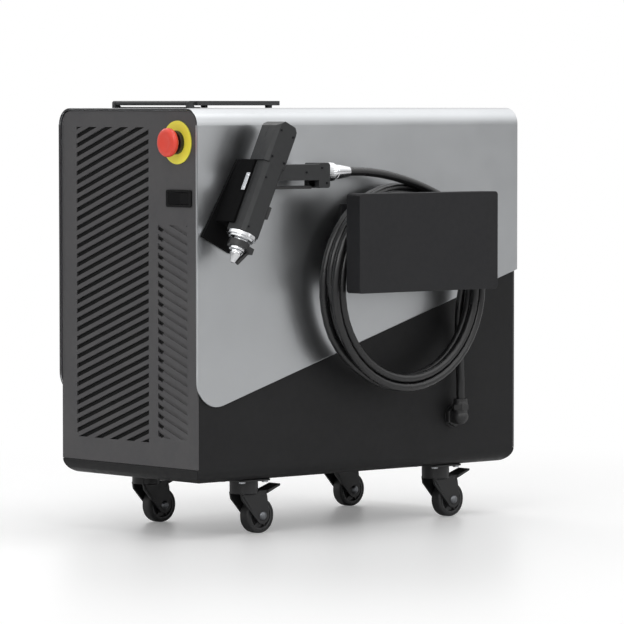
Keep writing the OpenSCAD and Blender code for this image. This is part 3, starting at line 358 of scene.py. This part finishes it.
def surface(name, code, roughness, metallic=0.0, ior=1.5):
    """A material with its plain values on the shader. Returns it with its node tree and shader."""
    made = bpy.data.materials.new(name)
    made.use_nodes = True
    shader = made.node_tree.nodes["Principled BSDF"]
    shader.inputs["Base Color"].default_value = colour(code)
    shader.inputs["Roughness"].default_value = roughness
    shader.inputs["Metallic"].default_value = metallic
    shader.inputs["IOR"].default_value = ior
    made.diffuse_color = colour(code)
    print("finish:", name)
    return made, made.node_tree, shader


def roughen(tree, shader, size, low, high):
    """Roughness that wanders between two values over patches of a size in mm."""
    tree.links.new(noise(tree, size, low, high), shader.inputs["Roughness"])


def dimple(tree, shader, size, depth, detail=2.0, stretch=(1, 1, 1)):
    """Fine relief: grains of a size and depth in mm."""
    bump = add(tree, "ShaderNodeBump", {"Height": noise(tree, size, 0.0, 1.0, detail, stretch),
        "Strength": 1.0, "Distance": depth * MM})
    tree.links.new(bump.outputs["Normal"], shader.inputs["Normal"])


def shade(tree, shader, size, first, second):
    """Base colour that drifts between two hex codes over patches of a size in mm."""
    mixed = add(tree, "ShaderNodeMix", {0: noise(tree, size, 0.0, 1.0, detail=3.0), 6: colour(first),
        7: colour(second)}, data_type="RGBA")
    tree.links.new(mixed.outputs[2], shader.inputs["Base Color"])


print("noise scale for grains of 1 mm", round(1 / MM))

# %% [markdown]
# ### Powder coat
# Polyester powder coat is an insulator with an IOR of about 1.5. Its satin grades sit near 0.5 roughness.
# The same recipe serves the panels, the shell, the hanger and the castors' steel, in their own greys. The
# black grades have a fine texture whose pores swallow part of the shine. That is too fine to draw, so a lower
# IOR takes its place.

# %% Powder-coated steel


def powder_coat(name, code, deeper, roughness, ior=1.5):
    """Satin powder coat: orange-peel ripples 1.2 mm apart and a faint drift of tone."""
    made, tree, shader = surface(name, code, roughness, ior=ior)
    shade(tree, shader, 60, code, deeper)                           # a hand's width of slightly deeper tone
    roughen(tree, shader, 9, roughness - 0.05, roughness + 0.05)    # where the spray lay thicker
    dimple(tree, shader, 1.2, 0.03)
    return made


# the panels keep a soft sheen, and the two blacks look deep and nearly flat
panel_coat = powder_coat("dark grey powder coat", "#4b4a4b", "#464547", 0.5)
shell_coat = powder_coat("black powder coat", "#1a1a1b", "#171718", 0.5, ior=1.32)
hanger_coat = powder_coat("charcoal powder coat", "#202022", "#1d1d1f", 0.55, ior=1.34)
# the castors' coat is dipped, so it is smoother and its edges glint
castor_coat = powder_coat("black dip coat", "#232324", "#1d1d1e", 0.42, ior=1.42)

# %% [markdown]
# ### Metals
# The cover is bead-blasted aluminium, anodised silver: a metal, so its colour is in its reflections, which
# the blasting blurs. Its broad sides would look dead if the blur were the same all over, so its roughness
# wanders slowly and the sheet is very slightly wavy. Bright fittings are turned and nickel-plated, so they
# stay nearly mirror-like, with fine marks from the tool. Inner sheet is zinc-plated, with soft clouds in the
# plating, and the castors' bolts are a darker, dull grey.

# %% Anodised aluminium
silver, tree, shader = surface("bead-blasted anodised aluminium", "#b9bbbd", 0.3, metallic=1.0)
shade(tree, shader, 140, "#bcbec0", "#b6b8ba")
roughen(tree, shader, 30, 0.28, 0.32)         # patches as wide as the nozzle's sweep
dimple(tree, shader, 70, 0.05, detail=0.0)    # waves of a twentieth of a millimetre in the sheet

# %% Plated and turned metal


def turned_metal(name, code, roughness, mark=0.8, stretch=(1, 1, 1)):
    """Metal from the lathe or the mill: tool marks of a size in mm and a gloss that wanders a little."""
    made, tree, shader = surface(name, code, roughness, metallic=1.0)
    roughen(tree, shader, 3, roughness - 0.05, roughness + 0.06)
    dimple(tree, shader, mark, 0.01, stretch=stretch)
    return made


nickel = turned_metal("turned nickel plate", "#d9dadc", 0.16)            # bright, with sharp glints
zinc = turned_metal("zinc-plated steel", "#b4b7ba", 0.32, mark=4)        # pale and cloudy
dull_zinc = turned_metal("dull zinc plate", "#6f7174", 0.42, mark=4)     # grey, with no glint
brass = turned_metal("turned brass", "#c9a86a", 0.22)                    # warm and bright
milled = turned_metal("milled aluminium", "#b9bbbe", 0.3, mark=1.2, stretch=(1, 6, 6))   # long tool marks
blackened = turned_metal("blackened steel", "#2a2a2c", 0.35)             # dark, with a soft shine

# %% [markdown]
# ### Plastics and rubber
# Moulded ABS, nylon and polycarbonate all have an IOR between 1.5 and 1.6. What tells them apart is their
# grain: glass-filled nylon on the gun is dull and fine, the stop knob is smooth and glossy, and the hose's
# polyurethane jacket is slick with a slow waviness from extrusion. Glass fibers at the surface weaken the
# shine, so such finishes have a lower IOR or specular level. The gun holder's low IOR and specular level and
# its near-black colour also paint the shade that the gun casts over it.

# %% Moulded plastics


def moulded(name, code, roughness, grain, depth, ior=1.53, shine=0.5):
    """A moulded plastic with the grain of its mould, in mm, and a slight drift of gloss."""
    made, tree, shader = surface(name, code, roughness, ior=ior)
    shader.inputs["Specular IOR Level"].default_value = shine
    roughen(tree, shader, 6, roughness - 0.04, roughness + 0.05)
    dimple(tree, shader, grain, depth)
    return made


# nylon is satin
gun_nylon = moulded("glass-filled nylon", "#242526", 0.55, 0.8, 0.03, ior=1.45)
black_nylon = moulded("black nylon", "#1c1c1d", 0.46, 1.0, 0.03)
natural_nylon = moulded("natural nylon", "#d8d6cc", 0.4, 1.2, 0.02)
# the holder's near-black colour and weak shine are painted shade, for the gun's shadow over it
holder_abs_in_shade = moulded("black ABS darkened as painted shade", "#0c0c0d", 0.75, 0.8, 0.02, ior=1.35, shine=0.15)
screen_abs = moulded("screen housing ABS", "#242526", 0.5, 0.7, 0.03)
# the switch is smooth and very dark
switch_polycarbonate = moulded("black polycarbonate", "#060607", 0.35, 2.0, 0.01, ior=1.5, shine=0.15)
# the stop button is polished, so its colours stay full
stop_red = moulded("red ABS", "#f04a38", 0.32, 6, 0.012)
stop_yellow = moulded("yellow ABS", "#fff654", 0.42, 1.5, 0.015)
stop_black = moulded("black thermoset", "#19191a", 0.4, 1.2, 0.02)
# the tread is dull against the hub's satin
wheel_rubber = moulded("castor tread rubber", "#1a1a1b", 0.6, 1.4, 0.05, ior=1.52)
wheel_nylon = moulded("castor hub nylon", "#29292a", 0.42, 1.0, 0.02)
# inner plastics: the foam is the darkest of all, a black sheet that paints the shade behind the vent slots
fan_plastic = moulded("fan plastic", "#1b1c1d", 0.45, 1.0, 0.02)
slot_shade_foam = moulded("black foam as slot shade", "#0b0b0b", 0.9, 1.2, 0.3, ior=1.4)
board_resin = moulded("circuit board resin", "#1d6a3c", 0.35, 1.6, 0.02)

# %% [markdown]
# ### Hose jacket and touch glass
# Polyurethane is drawn over the hose through a die, so it has no grain, but its gloss and its surface swell
# slowly along it, and that breaks up the long glints on the coil. Glass is almost perfectly smooth, and only
# the touch of fingers dulls it in patches.

# %% Hose jacket
hose_jacket, tree, shader = surface("polyurethane jacket", "#1b1b1c", 0.3, ior=1.5)
roughen(tree, shader, 14, 0.26, 0.36)
dimple(tree, shader, 9, 0.12, detail=1.0)
hose.data.materials.append(hose_jacket)

# %% Touch glass
touch_glass, tree, shader = surface("touch glass", "#07080a", 0.05, ior=1.52)
roughen(tree, shader, 40, 0.03, 0.09)
print("finishes", len(bpy.data.materials))

# %% [markdown]
# ## Rounded edges
# No real edge is perfectly sharp: sheet is deburred, mouldings leave a radius and machined edges are broken.
# A rounded edge matters because it catches a thin line of light. The exact pieces of the frame have sharp
# edges, so each visible one is copied, its flat facets are joined, and a bevel modifier rounds its edges by
# a real radius. A bevel that hardens normals keeps the broad faces flat in the light.

# %% Making a piece
X_AXIS = Vector((1, 0, 0))
Y_AXIS = Vector((0, 1, 0))
Z_AXIS = Vector((0, 0, 1))
SMOOTH_ANGLE = math.radians(32)    # a gentler turn is shaded as one smooth surface
ROUND_ANGLE = math.radians(35)     # a sharper turn is an edge that gets rounded


def piece(name, mesh, finish, body, nodes=()):
    """Turns a bmesh into a shown piece that moves with a body and may stand in for CAD nodes."""
    data = bpy.data.meshes.new(name)
    mesh.to_mesh(data)
    mesh.free()
    data.materials.append(finish)
    for face in data.polygons:
        face.use_smooth = True
    data.set_sharp_from_angle(angle=SMOOTH_ANGLE)
    made = bpy.data.objects.new(name, data)
    bpy.context.scene.collection.objects.link(made)
    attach(made, body)
    if nodes:
        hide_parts(*nodes)
    print("piece:", name, "faces", len(data.polygons))
    return made


def round_edges(made, width, segments=2):
    """Rounds every sharp edge over a width in mm."""
    bevel = made.modifiers.new("rounded edges", "BEVEL")
    bevel.width = width * MM
    bevel.segments = segments
    bevel.limit_method = "ANGLE"
    bevel.angle_limit = ROUND_ANGLE
    bevel.use_clamp_overlap = False
    bevel.harden_normals = True
    return made


def weld(mesh):
    """Joins points that lie together."""
    bmesh.ops.remove_doubles(mesh, verts=mesh.verts, dist=0.005 * MM)


def join_facets(mesh):
    """Joins the facets that lie in one plane into one face."""
    bmesh.ops.dissolve_limit(mesh, angle_limit=math.radians(0.3), verts=mesh.verts, edges=mesh.edges)


def rounded(node, finish, width, segments=2):
    """Shows a CAD node as a copy whose edges are rounded over a width in mm."""
    mesh = bmesh.new()
    mesh.from_mesh(frame["nodes"][node].data)
    weld(mesh)
    join_facets(mesh)
    round_edges(piece(node + "_finished", mesh, finish, body_of(node), [node]), width, segments)


# %% Sheet metal and mouldings
# folded sheet keeps tight edges, and thick mouldings have softer ones
rounded("base_shell", shell_coat, 0.8)
rounded("front_panel", panel_coat, 0.45)
rounded("rear_panel", panel_coat, 0.45)
rounded("hanger_box", hanger_coat, 1.0, 3)
rounded("hose_hanger", hanger_coat, 0.5)
# the holder's finish is darkened as painted shade
rounded("gun_holder", holder_abs_in_shade, 0.6)
rounded("gun_shell_inner", gun_nylon, 0.5)
rounded("gun_shell_outer", gun_nylon, 0.5)
rounded("gun_trigger", black_nylon, 0.6)
rounded("lens_drawer", black_nylon, 0.4)
rounded("wire_guide", black_nylon, 0.4)
rounded("holder_clip", nickel, 0.25)
rounded("gun_flange", nickel, 0.5)
rounded("nozzle_tube", nickel, 0.5)
rounded("screen_bracket", screen_abs, 0.3)
rounded("screen_housing", screen_abs, 0.7, 3)
rounded("screen_glass", touch_glass, 0.3)
rounded("switch_housing", switch_polycarbonate, 0.4)
rounded("switch_rocker", switch_polycarbonate, 0.5)
rounded("estop_plate", stop_yellow, 0.5)
rounded("estop_body", stop_black, 0.5)
rounded("caster_plates", castor_coat, 0.4)
CASTORS = range(1, 5)
for i in CASTORS:
    rounded(f"caster_fork_{i}", castor_coat, 0.5)
    rounded(f"brake_pedal_{i}", black_nylon, 0.6)

# %% [markdown]
# ### Silver cover
# The cover is one sheet, bent over the top and both sides. The frame holds it in three parts that meet face
# to face halfway round each bend. Shown so, each joint would be a seam that the real sheet doesn't have.
# Their meshes are welded into one instead, and the hidden faces where they met are taken out.

# %% Welding the cover
COVER = ("cover_top", "cover_near_side", "cover_far_side")
mesh = bmesh.new()
for node in COVER:
    mesh.from_mesh(frame["nodes"][node].data)
weld(mesh)
seam = {vert for edge in mesh.edges if len(edge.link_faces) > 2 for vert in edge.verts}
inside = [face for face in mesh.faces if seam.issuperset(face.verts)]
bmesh.ops.delete(mesh, geom=inside, context="FACES")
open_edges = sum(1 for edge in mesh.edges if len(edge.link_faces) != 2)
join_facets(mesh)
cover = round_edges(piece("cover_finished", mesh, silver, "cabinet", COVER), 1.1, 3)
print("cover: faces where its parts met", len(inside), "edges left open", open_edges)

# %% Cover's rim, black as painted shade
# the cover's front rim is bare metal down the gun side; over the top and the far side it is painted black, as
# shade for the shadowed gap between cover and front panel
RIM_SHADE_FROM = at(0, 1, 572)    # just inside the gun side, at the foot of the rolled top edge
FACES_FRONT = -0.9           # a face whose normal points this far forward belongs to the rim
cover.data.materials.append(black_nylon)
mesh = bmesh.new()
mesh.from_mesh(cover.data)
rim = [face for face in mesh.faces if face.normal.x < FACES_FRONT]
rim_edges = list({edge for face in rim for edge in face.edges})
rim_verts = list({vert for face in rim for vert in face.verts})
bmesh.ops.bisect_plane(mesh, geom=rim + rim_edges + rim_verts, plane_co=RIM_SHADE_FROM, plane_no=Z_AXIS)
mesh.to_mesh(cover.data)
mesh.free()
# rim faces past that plane take the black finish, as painted shade
for face in cover.data.polygons:
    if face.normal.x < FACES_FRONT and face.center.y > RIM_SHADE_FROM.y:
        face.material_index = 1
print("rim faces painted as shade", sum(face.material_index for face in cover.data.polygons))

# %% [markdown]
# ### Inner pieces
# What sits behind the vent slots is seen only as dark shapes, so those pieces keep their exact form and only
# take the right finish. A sheet of black foam, like a dust filter, stands behind the slots of each end panel.
# It is painted shade: it blacks out the slots as the shade inside the cabinet would.

# %% Finishes of inner pieces
INNER = {"chassis": zinc, "heat_sink": milled, "gun_core": milled, "laser_module": milled,
    "power_supply": zinc, "control_board": board_resin, "fan_frames": fan_plastic, "fan_rotor_1": fan_plastic,
    "fan_rotor_2": fan_plastic, "estop_stem": natural_nylon, "power_gland": black_nylon, "gas_valve": brass,
    "earth_stud": brass, "hose_gland": black_nylon}
for node, finish in INNER.items():
    data = frame["nodes"][node].data
    data.materials.clear()
    data.materials.append(finish)
print("inner pieces", len(INNER))

# %% Black foam behind the slots, as painted shade
FOAM_THICK, FOAM_TALL, FOAM_MIDDLE = 9, 460, 350    # mm, the last one above the floor


def block(mesh, place, size):
    """Adds a block of a size in mm, set in place by a matrix."""
    bmesh.ops.create_cube(mesh, size=1, matrix=place @ Matrix.Diagonal((*(side * MM for side in size), 1)))


# each foam sheet is a dark sheet that paints the shade inside the cabinet, so the slots look black
for name, u, w, width in (("front_slot_shade_foam", 3.2, 176, 220), ("rear_slot_shade_foam", 597.8, 188, 196)):
    mesh = bmesh.new()
    block(mesh, Matrix.Translation(at(u + FOAM_THICK / 2, w, FOAM_MIDDLE)), (FOAM_THICK, width, FOAM_TALL))
    piece(name, mesh, slot_shade_foam, "cabinet")

# %% [markdown]
# ## Turned pieces
# Knobs, nuts, wheels and fittings are all made on a lathe or in a round mould. Each is drawn the same way: an
# outline of radius and distance along an axis, swept round it. A hexagon nut is the same outline with six
# steps, and a knurled grip alternates between two radii.

# %% Lathe


def lathe(mesh, outline, start, axis, steps=48):
    """Sweeps (radius, distance) pairs in mm about an axis. A third number is the depth of a knurl."""
    place = Matrix.Translation(start) @ axis.to_track_quat("Z", "X").to_matrix().to_4x4()
    rings = []
    for radius, along, *knurl in outline:
        ring = []
        for i in range(steps if radius else 1):
            reach = (radius - (knurl[0] if knurl and i % 2 else 0)) * MM
            angle = 2 * math.pi * i / steps
            spot = Vector((reach * math.cos(angle), reach * math.sin(angle), along * MM))
            ring.append(mesh.verts.new(place @ spot))
        rings.append(ring)
    pairs = list(zip(rings, rings[1:]))
    if outline[0][0] and outline[-1][0]:
        pairs.append((rings[-1], rings[0]))
    made = []
    for a, b in pairs:
        for i in range(steps):
            j = (i + 1) % steps
            corners = list(dict.fromkeys([a[i % len(a)], a[j % len(a)], b[j % len(b)], b[i % len(b)]]))
            if len(corners) > 2:
                made.append(mesh.faces.new(corners))
    bmesh.ops.recalc_face_normals(mesh, faces=made)


# %% [markdown]
# ### Stop knob
# The emergency stop's mushroom head is one smooth red moulding with a crowned face, a soft brim and a shallow
# dish in its middle. Its profile is turned at a finer step than the frame's, so that its highlight is smooth.

# %% Emergency stop knob
stop_at = Vector((CORNER.x, *joint("estop_twist")["pos_m"][1:]))
mesh = bmesh.new()
lathe(mesh, [(0, 22.9), (6, 22.95), (9, 23.4), (11, 23.9), (13.5, 23.8), (16.5, 23.2), (18.6, 21.8),
    (19.7, 20.2), (20, 18.6), (20, 16.6), (19.5, 15.5), (18.4, 14.9), (16.5, 14.6), (13.4, 14.5),
    (12.6, 13.8), (12.5, 13), (12.5, 10.3), (12.2, 10.05), (6.1, 10), (6.1, 14.3), (0, 14.3)],
    stop_at, -X_AXIS, 64)
piece("stop_knob", mesh, stop_red, body_of("estop_knob"), ["estop_knob"])

# %% [markdown]
# ### Castor wheels
# A 50 mm castor wheel has a nylon hub and rim with a rubber tread moulded round it. The web between hub and
# rim is thin and stiffened by ribs. Tread and hub are one mesh with two finishes, split at the rim.

# %% Wheels
TREAD_FROM = 20.2            # radius at which the tread starts, in mm
RIBS = 6
RIB_MIDDLE = 12.2            # radius at the middle of a rib
RIB_SIZE = (10, 14, 2)       # along the radius, along the axle, and thick
half_wheel = [(8, 8.6), (8, 4.4), (8.5, 4), (16.3, 4), (17, 4.6), (17.2, 8.2), (17.8, 8.8), (19.8, 8.8),
    (20, 8.2), (20.4, 8.2), (20.7, 8.9), (22.4, 8.9), (23.6, 8.5), (24.5, 7.6), (24.9, 6.2), (25, 4)]
wheel_outline = ([(4.05, -9), (7.5, -9)] + [(r, -z) for r, z in half_wheel] + half_wheel[::-1]
    + [(7.5, 9), (4.05, 9)])
for i in CASTORS:
    hub = Vector(joint(f"wheel_spin_{i}")["pos_m"])
    mesh = bmesh.new()
    lathe(mesh, wheel_outline, hub, Y_AXIS, 64)
    for k in range(RIBS):
        turn = Matrix.Rotation(2 * math.pi * k / RIBS, 4, "Y")
        block(mesh, Matrix.Translation(hub) @ turn @ Matrix.Translation((RIB_MIDDLE * MM, 0, 0)), RIB_SIZE)
    wheel = f"caster_wheel_{i}"
    made = piece(f"wheel_{i}_tread_and_hub", mesh, wheel_nylon, body_of(wheel), [wheel])
    made.data.materials.append(wheel_rubber)
    for face in made.data.polygons:
        off = face.center - hub
        if math.hypot(off.x, off.z) > TREAD_FROM * MM:
            face.material_index = 1

# %% [markdown]
# ### Castor bolts and brake pedals
# An axle bolt has a domed head on one side of the fork, and a hexagon nut with the bolt's tip standing out of
# it on the other. Four more bolts hold each plate, and their heads stand under it. Low ribs across the brake
# pedal's sloping pad give a shoe its grip. All of these are small, but they are what makes a castor look
# bought rather than drawn, so they are real shapes and not a bump.

# %% Axle bolts
for i in CASTORS:
    hub = Vector(joint(f"wheel_spin_{i}")["pos_m"])
    mesh = bmesh.new()
    lathe(mesh, [(0, -16.8), (3.2, -16.7), (5, -15.8), (6.2, -14.2), (6.4, -13.7), (4, -13.6), (4, 13.6),
        (0, 13.6)], hub, Y_AXIS, 32)
    lathe(mesh, [(0, 17), (6.4, 17), (6.9, 16.6), (6.9, 13.6), (0, 13.6)], hub, Y_AXIS, 6)
    lathe(mesh, [(0, 17.8), (3.2, 17.8), (3.6, 17.4), (3.6, 16.9), (0, 16.9)], hub, Y_AXIS, 24)
    piece(f"axle_bolt_{i}", mesh, dull_zinc, body_of(f"caster_axle_{i}"), [f"caster_axle_{i}"])

# %% Plate bolts
BOLT_OFF = 21                # mm from the kingpin each way
PLATE_THICK = 2.5            # mm
plate_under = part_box("caster_plates")[1].z - PLATE_THICK * MM
mesh = bmesh.new()
for i in CASTORS:
    pin = Vector(joint(f"caster_swivel_{i}")["pos_m"])
    for x in (-BOLT_OFF, BOLT_OFF):
        for y in (-BOLT_OFF, BOLT_OFF):
            lathe(mesh, [(0, 2.4), (4.2, 2.4), (4.7, 2), (4.7, 0), (0, 0)],
                Vector((pin.x + x * MM, pin.y + y * MM, plate_under)), -Z_AXIS, 6)
piece("castor_plate_bolts", mesh, zinc, "cabinet")

# %% Pedal ribs
PAD_SLOPE = math.atan2(7.8, 23)
PAD_START = (9, 5.2)         # mm out from the pedal's pivot, and above it, where the pad starts
GRIP_FROM, GRIP_GAP, GRIPS = 14, 5, 4
GRIP_SIZE = (1.6, 19, 1.4)   # along the pad, across it, and thick
for i in CASTORS:
    pivot = Vector(joint(f"brake_{i}")["pos_m"])
    mesh = bmesh.new()
    for k in range(GRIPS):
        along = GRIP_FROM + GRIP_GAP * k
        top = pivot + Vector((along, 0, PAD_START[1] + (along - PAD_START[0]) * math.tan(PAD_SLOPE))) * MM
        block(mesh, Matrix.Translation(top) @ Matrix.Rotation(-PAD_SLOPE, 4, "Y"), GRIP_SIZE)
    ribs = piece(f"pedal_ribs_{i}", mesh, black_nylon, body_of(f"brake_pedal_{i}"))
    round_edges(ribs, 0.3)

# %% [markdown]
# ### Gun fittings
# The gun hangs at a slant, so its turned pieces are placed along its own directions. The frame gives them:
# the lens drawer slides out towards the grip, and forward is square to that and to the cabinet's width.

# %% Gun directions
towards_grip = Vector(joint("drawer_slide")["axis"])
forward = Y_AXIS.cross(towards_grip)
tube_low, tube_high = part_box("nozzle_tube")
TUBE_MIDDLE = 182.1          # distance from the gun's rear end to the middle of the nozzle tube
gun_back = (tube_low + tube_high) / 2 - forward * TUBE_MIDDLE * MM


def on_gun(away, across, along):
    """A point on the gun in mm: away from the grip, across, and forward from its rear end."""
    return gun_back + forward * along * MM - towards_grip * away * MM + Y_AXIS * across * MM


print("the gun points along", forward)

# %% Nozzle
mesh = bmesh.new()
lathe(mesh, [(2, 190.2), (7.5, 190.2), (8, 190.7), (8, 191.2, 0.5), (8, 194, 0.5), (8, 194.5), (7.4, 195),
    (7.4, 195.6), (7.7, 196), (3.5, 207.6), (2.9, 208.1), (2, 208.1)], gun_back, forward, 48)
piece("plated_nozzle", mesh, nickel, body_of("nozzle_tip"), ["nozzle_tip"])

# %% Hose connector
CONNECTOR_FROM = (186, -45.5, 507)    # where the grip ends, in cabinet mm
mesh = bmesh.new()
lathe(mesh, [(4, 0), (8.95, 0), (8.95, 5.1), (12, 5.1), (12.9, 5.9), (12.9, 7.5), (13, 8, 0.7),
    (13, 19.5, 0.7), (12.9, 20), (12.9, 21.6), (12, 22.6), (10.5, 23.1), (10.5, 25.4), (9.8, 26), (9.8, 27),
    (10.5, 27.6), (10.5, 32.5), (7.5, 52), (6.1, 52), (6.1, 38), (4, 38)], at(*CONNECTOR_FROM), X_AXIS, 64)
piece("hose_coupling", mesh, nickel, body_of("hose_connector"), ["hose_connector"])

# %% [markdown]
# ### Small screws
# Button-head screws hold the gun's halves together and the rear panel to the cabinet. Their heads are a
# turned dome with a round socket, drawn once and scaled to each radius.

# %% Small screws
BUTTON_HEAD = [(0, 0.7), (0.55, 0.7), (0.6, 1.5), (0.9, 1.55), (1.35, 1.2), (1.5, 0.6), (1.5, 0), (0, 0)]
FLATTEN = 0.6                # the heads are lower than a full dome


def screw(mesh, place, axis, head_r):
    """A button-head screw with a socket. Its head is drawn to a radius in mm."""
    grow = head_r / BUTTON_HEAD[-2][0]
    head = [(radius * grow, along * grow * FLATTEN) for radius, along in BUTTON_HEAD]
    lathe(mesh, head, place, axis, 20)


GUN_FACE = -19.5             # outer face of the gun from its middle
GRIP_FACE = -61              # outer face of the grip in cabinet mm
mesh = bmesh.new()
for away, along in ((12, 14), (-12, 14), (12, 53), (-12, 53), (10, 84), (10, 158)):
    screw(mesh, on_gun(away, GUN_FACE, along), -Y_AXIS, 1.8)
for u, z in ((147, 507), (176, 513), (185, 492)):
    screw(mesh, at(u, GRIP_FACE, z), -Y_AXIS, 1.8)
piece("gun_screws", mesh, blackened, "cabinet")

REAR = 610                   # outer face of the rear panel behind the front
mesh = bmesh.new()
for w in (9, 287):
    for z in (110.1, 345, 570):
        screw(mesh, at(REAR + 0.1, w, z), X_AXIS, 4)
piece("rear_panel_screws", mesh, blackened, "cabinet", ["panel_screws"])

# %% [markdown]
# ### Glands and rear fittings
# A gland grips a lead or hose where it passes through the sheet: a hexagon stands on the sheet, and a domed
# cap with a rubber lip closes round the lead. The gas inlet and the stud for the work lead are brass. The
# frame holds their bodies, and the nuts that a spanner would turn are added here.

# %% Hose gland
ELBOW = at(484, -17.5, 150)
ELBOW_FOOT = at(484, -2.4, 150)
mesh = bmesh.new()
lathe(mesh, [(6.6, 10), (11.6, 10), (12.2, 10.7), (12.2, 17.3), (11.6, 18), (6.6, 18)], ELBOW, Z_AXIS, 6)
lathe(mesh, [(6.15, 17), (10.6, 17), (10.6, 19.5), (9.9, 22.4), (8.5, 24.9), (7.1, 26), (6.15, 26)],
    ELBOW, Z_AXIS, 40)
lathe(mesh, [(11, 0.3), (14.6, 0.3), (15.4, 1.2), (15.4, 5), (14.6, 5.8), (11, 5.8)], ELBOW_FOOT, -Y_AXIS, 6)
piece("hose_gland_nuts", mesh, black_nylon, "cabinet")

# %% Mains gland
FITTINGS = 60                # how far in from the gun side the rear fittings sit
MAINS = at(REAR, FITTINGS, 150)
mesh = bmesh.new()
lathe(mesh, [(10, 0.2), (16.4, 0.2), (17.4, 1.1), (17.4, 7.2), (16.4, 8.1), (10, 8.1)], MAINS, X_AXIS, 6)
lathe(mesh, [(6.6, 7), (13.1, 7), (13.1, 14), (12.5, 18), (10.9, 20.8), (8.6, 22), (6.6, 22)],
    MAINS, X_AXIS, 40)
piece("mains_gland_nut", mesh, black_nylon, "cabinet")

# %% Gas inlet
GAS = at(REAR, FITTINGS, 300)
mesh = bmesh.new()
lathe(mesh, [(8, 0.2), (13, 0.2), (14, 1), (14, 5.2), (13, 6), (8, 6)], GAS, X_AXIS, 6)
lathe(mesh, [(4.1, 20.4), (6.2, 20.4), (6.2, 21.4), (5.6, 22), (4.1, 22)], GAS, X_AXIS, 32)
piece("gas_inlet_nut", mesh, brass, "cabinet")

# %% Earth stud
EARTH = at(REAR, FITTINGS, 225)
THREAD_PITCH = 1.25
THREAD_FROM = 10.5           # mm out from the panel
thread = [(3.5 + 0.5 * (k % 2), THREAD_FROM + k * THREAD_PITCH / 2) for k in range(18)]
mesh = bmesh.new()
lathe(mesh, [(0, -17), (4, -17), (4, -7.1), (9, -7.1), (9, -3.1), (4, -3.1), (4, 0.1), (9.6, 0.1), (10, 0.5),
    (10, 3.6), (9.6, 4), (4, 4)] + thread + [(3.2, 22), (0, 22)], EARTH, X_AXIS, 32)
lathe(mesh, [(3.9, 4.1), (6.8, 4.1), (7.5, 4.8), (7.5, 9.8), (6.8, 10.5), (3.9, 10.5)], EARTH, X_AXIS, 6)
piece("threaded_earth_stud", mesh, brass, body_of("earth_stud"), ["earth_stud"])

# %% [markdown]
# ## Finish
# The standard view keeps the finishes' own greys.

# %% View
bpy.context.scene.view_settings.view_transform = "Standard"
bpy.context.view_layer.update()
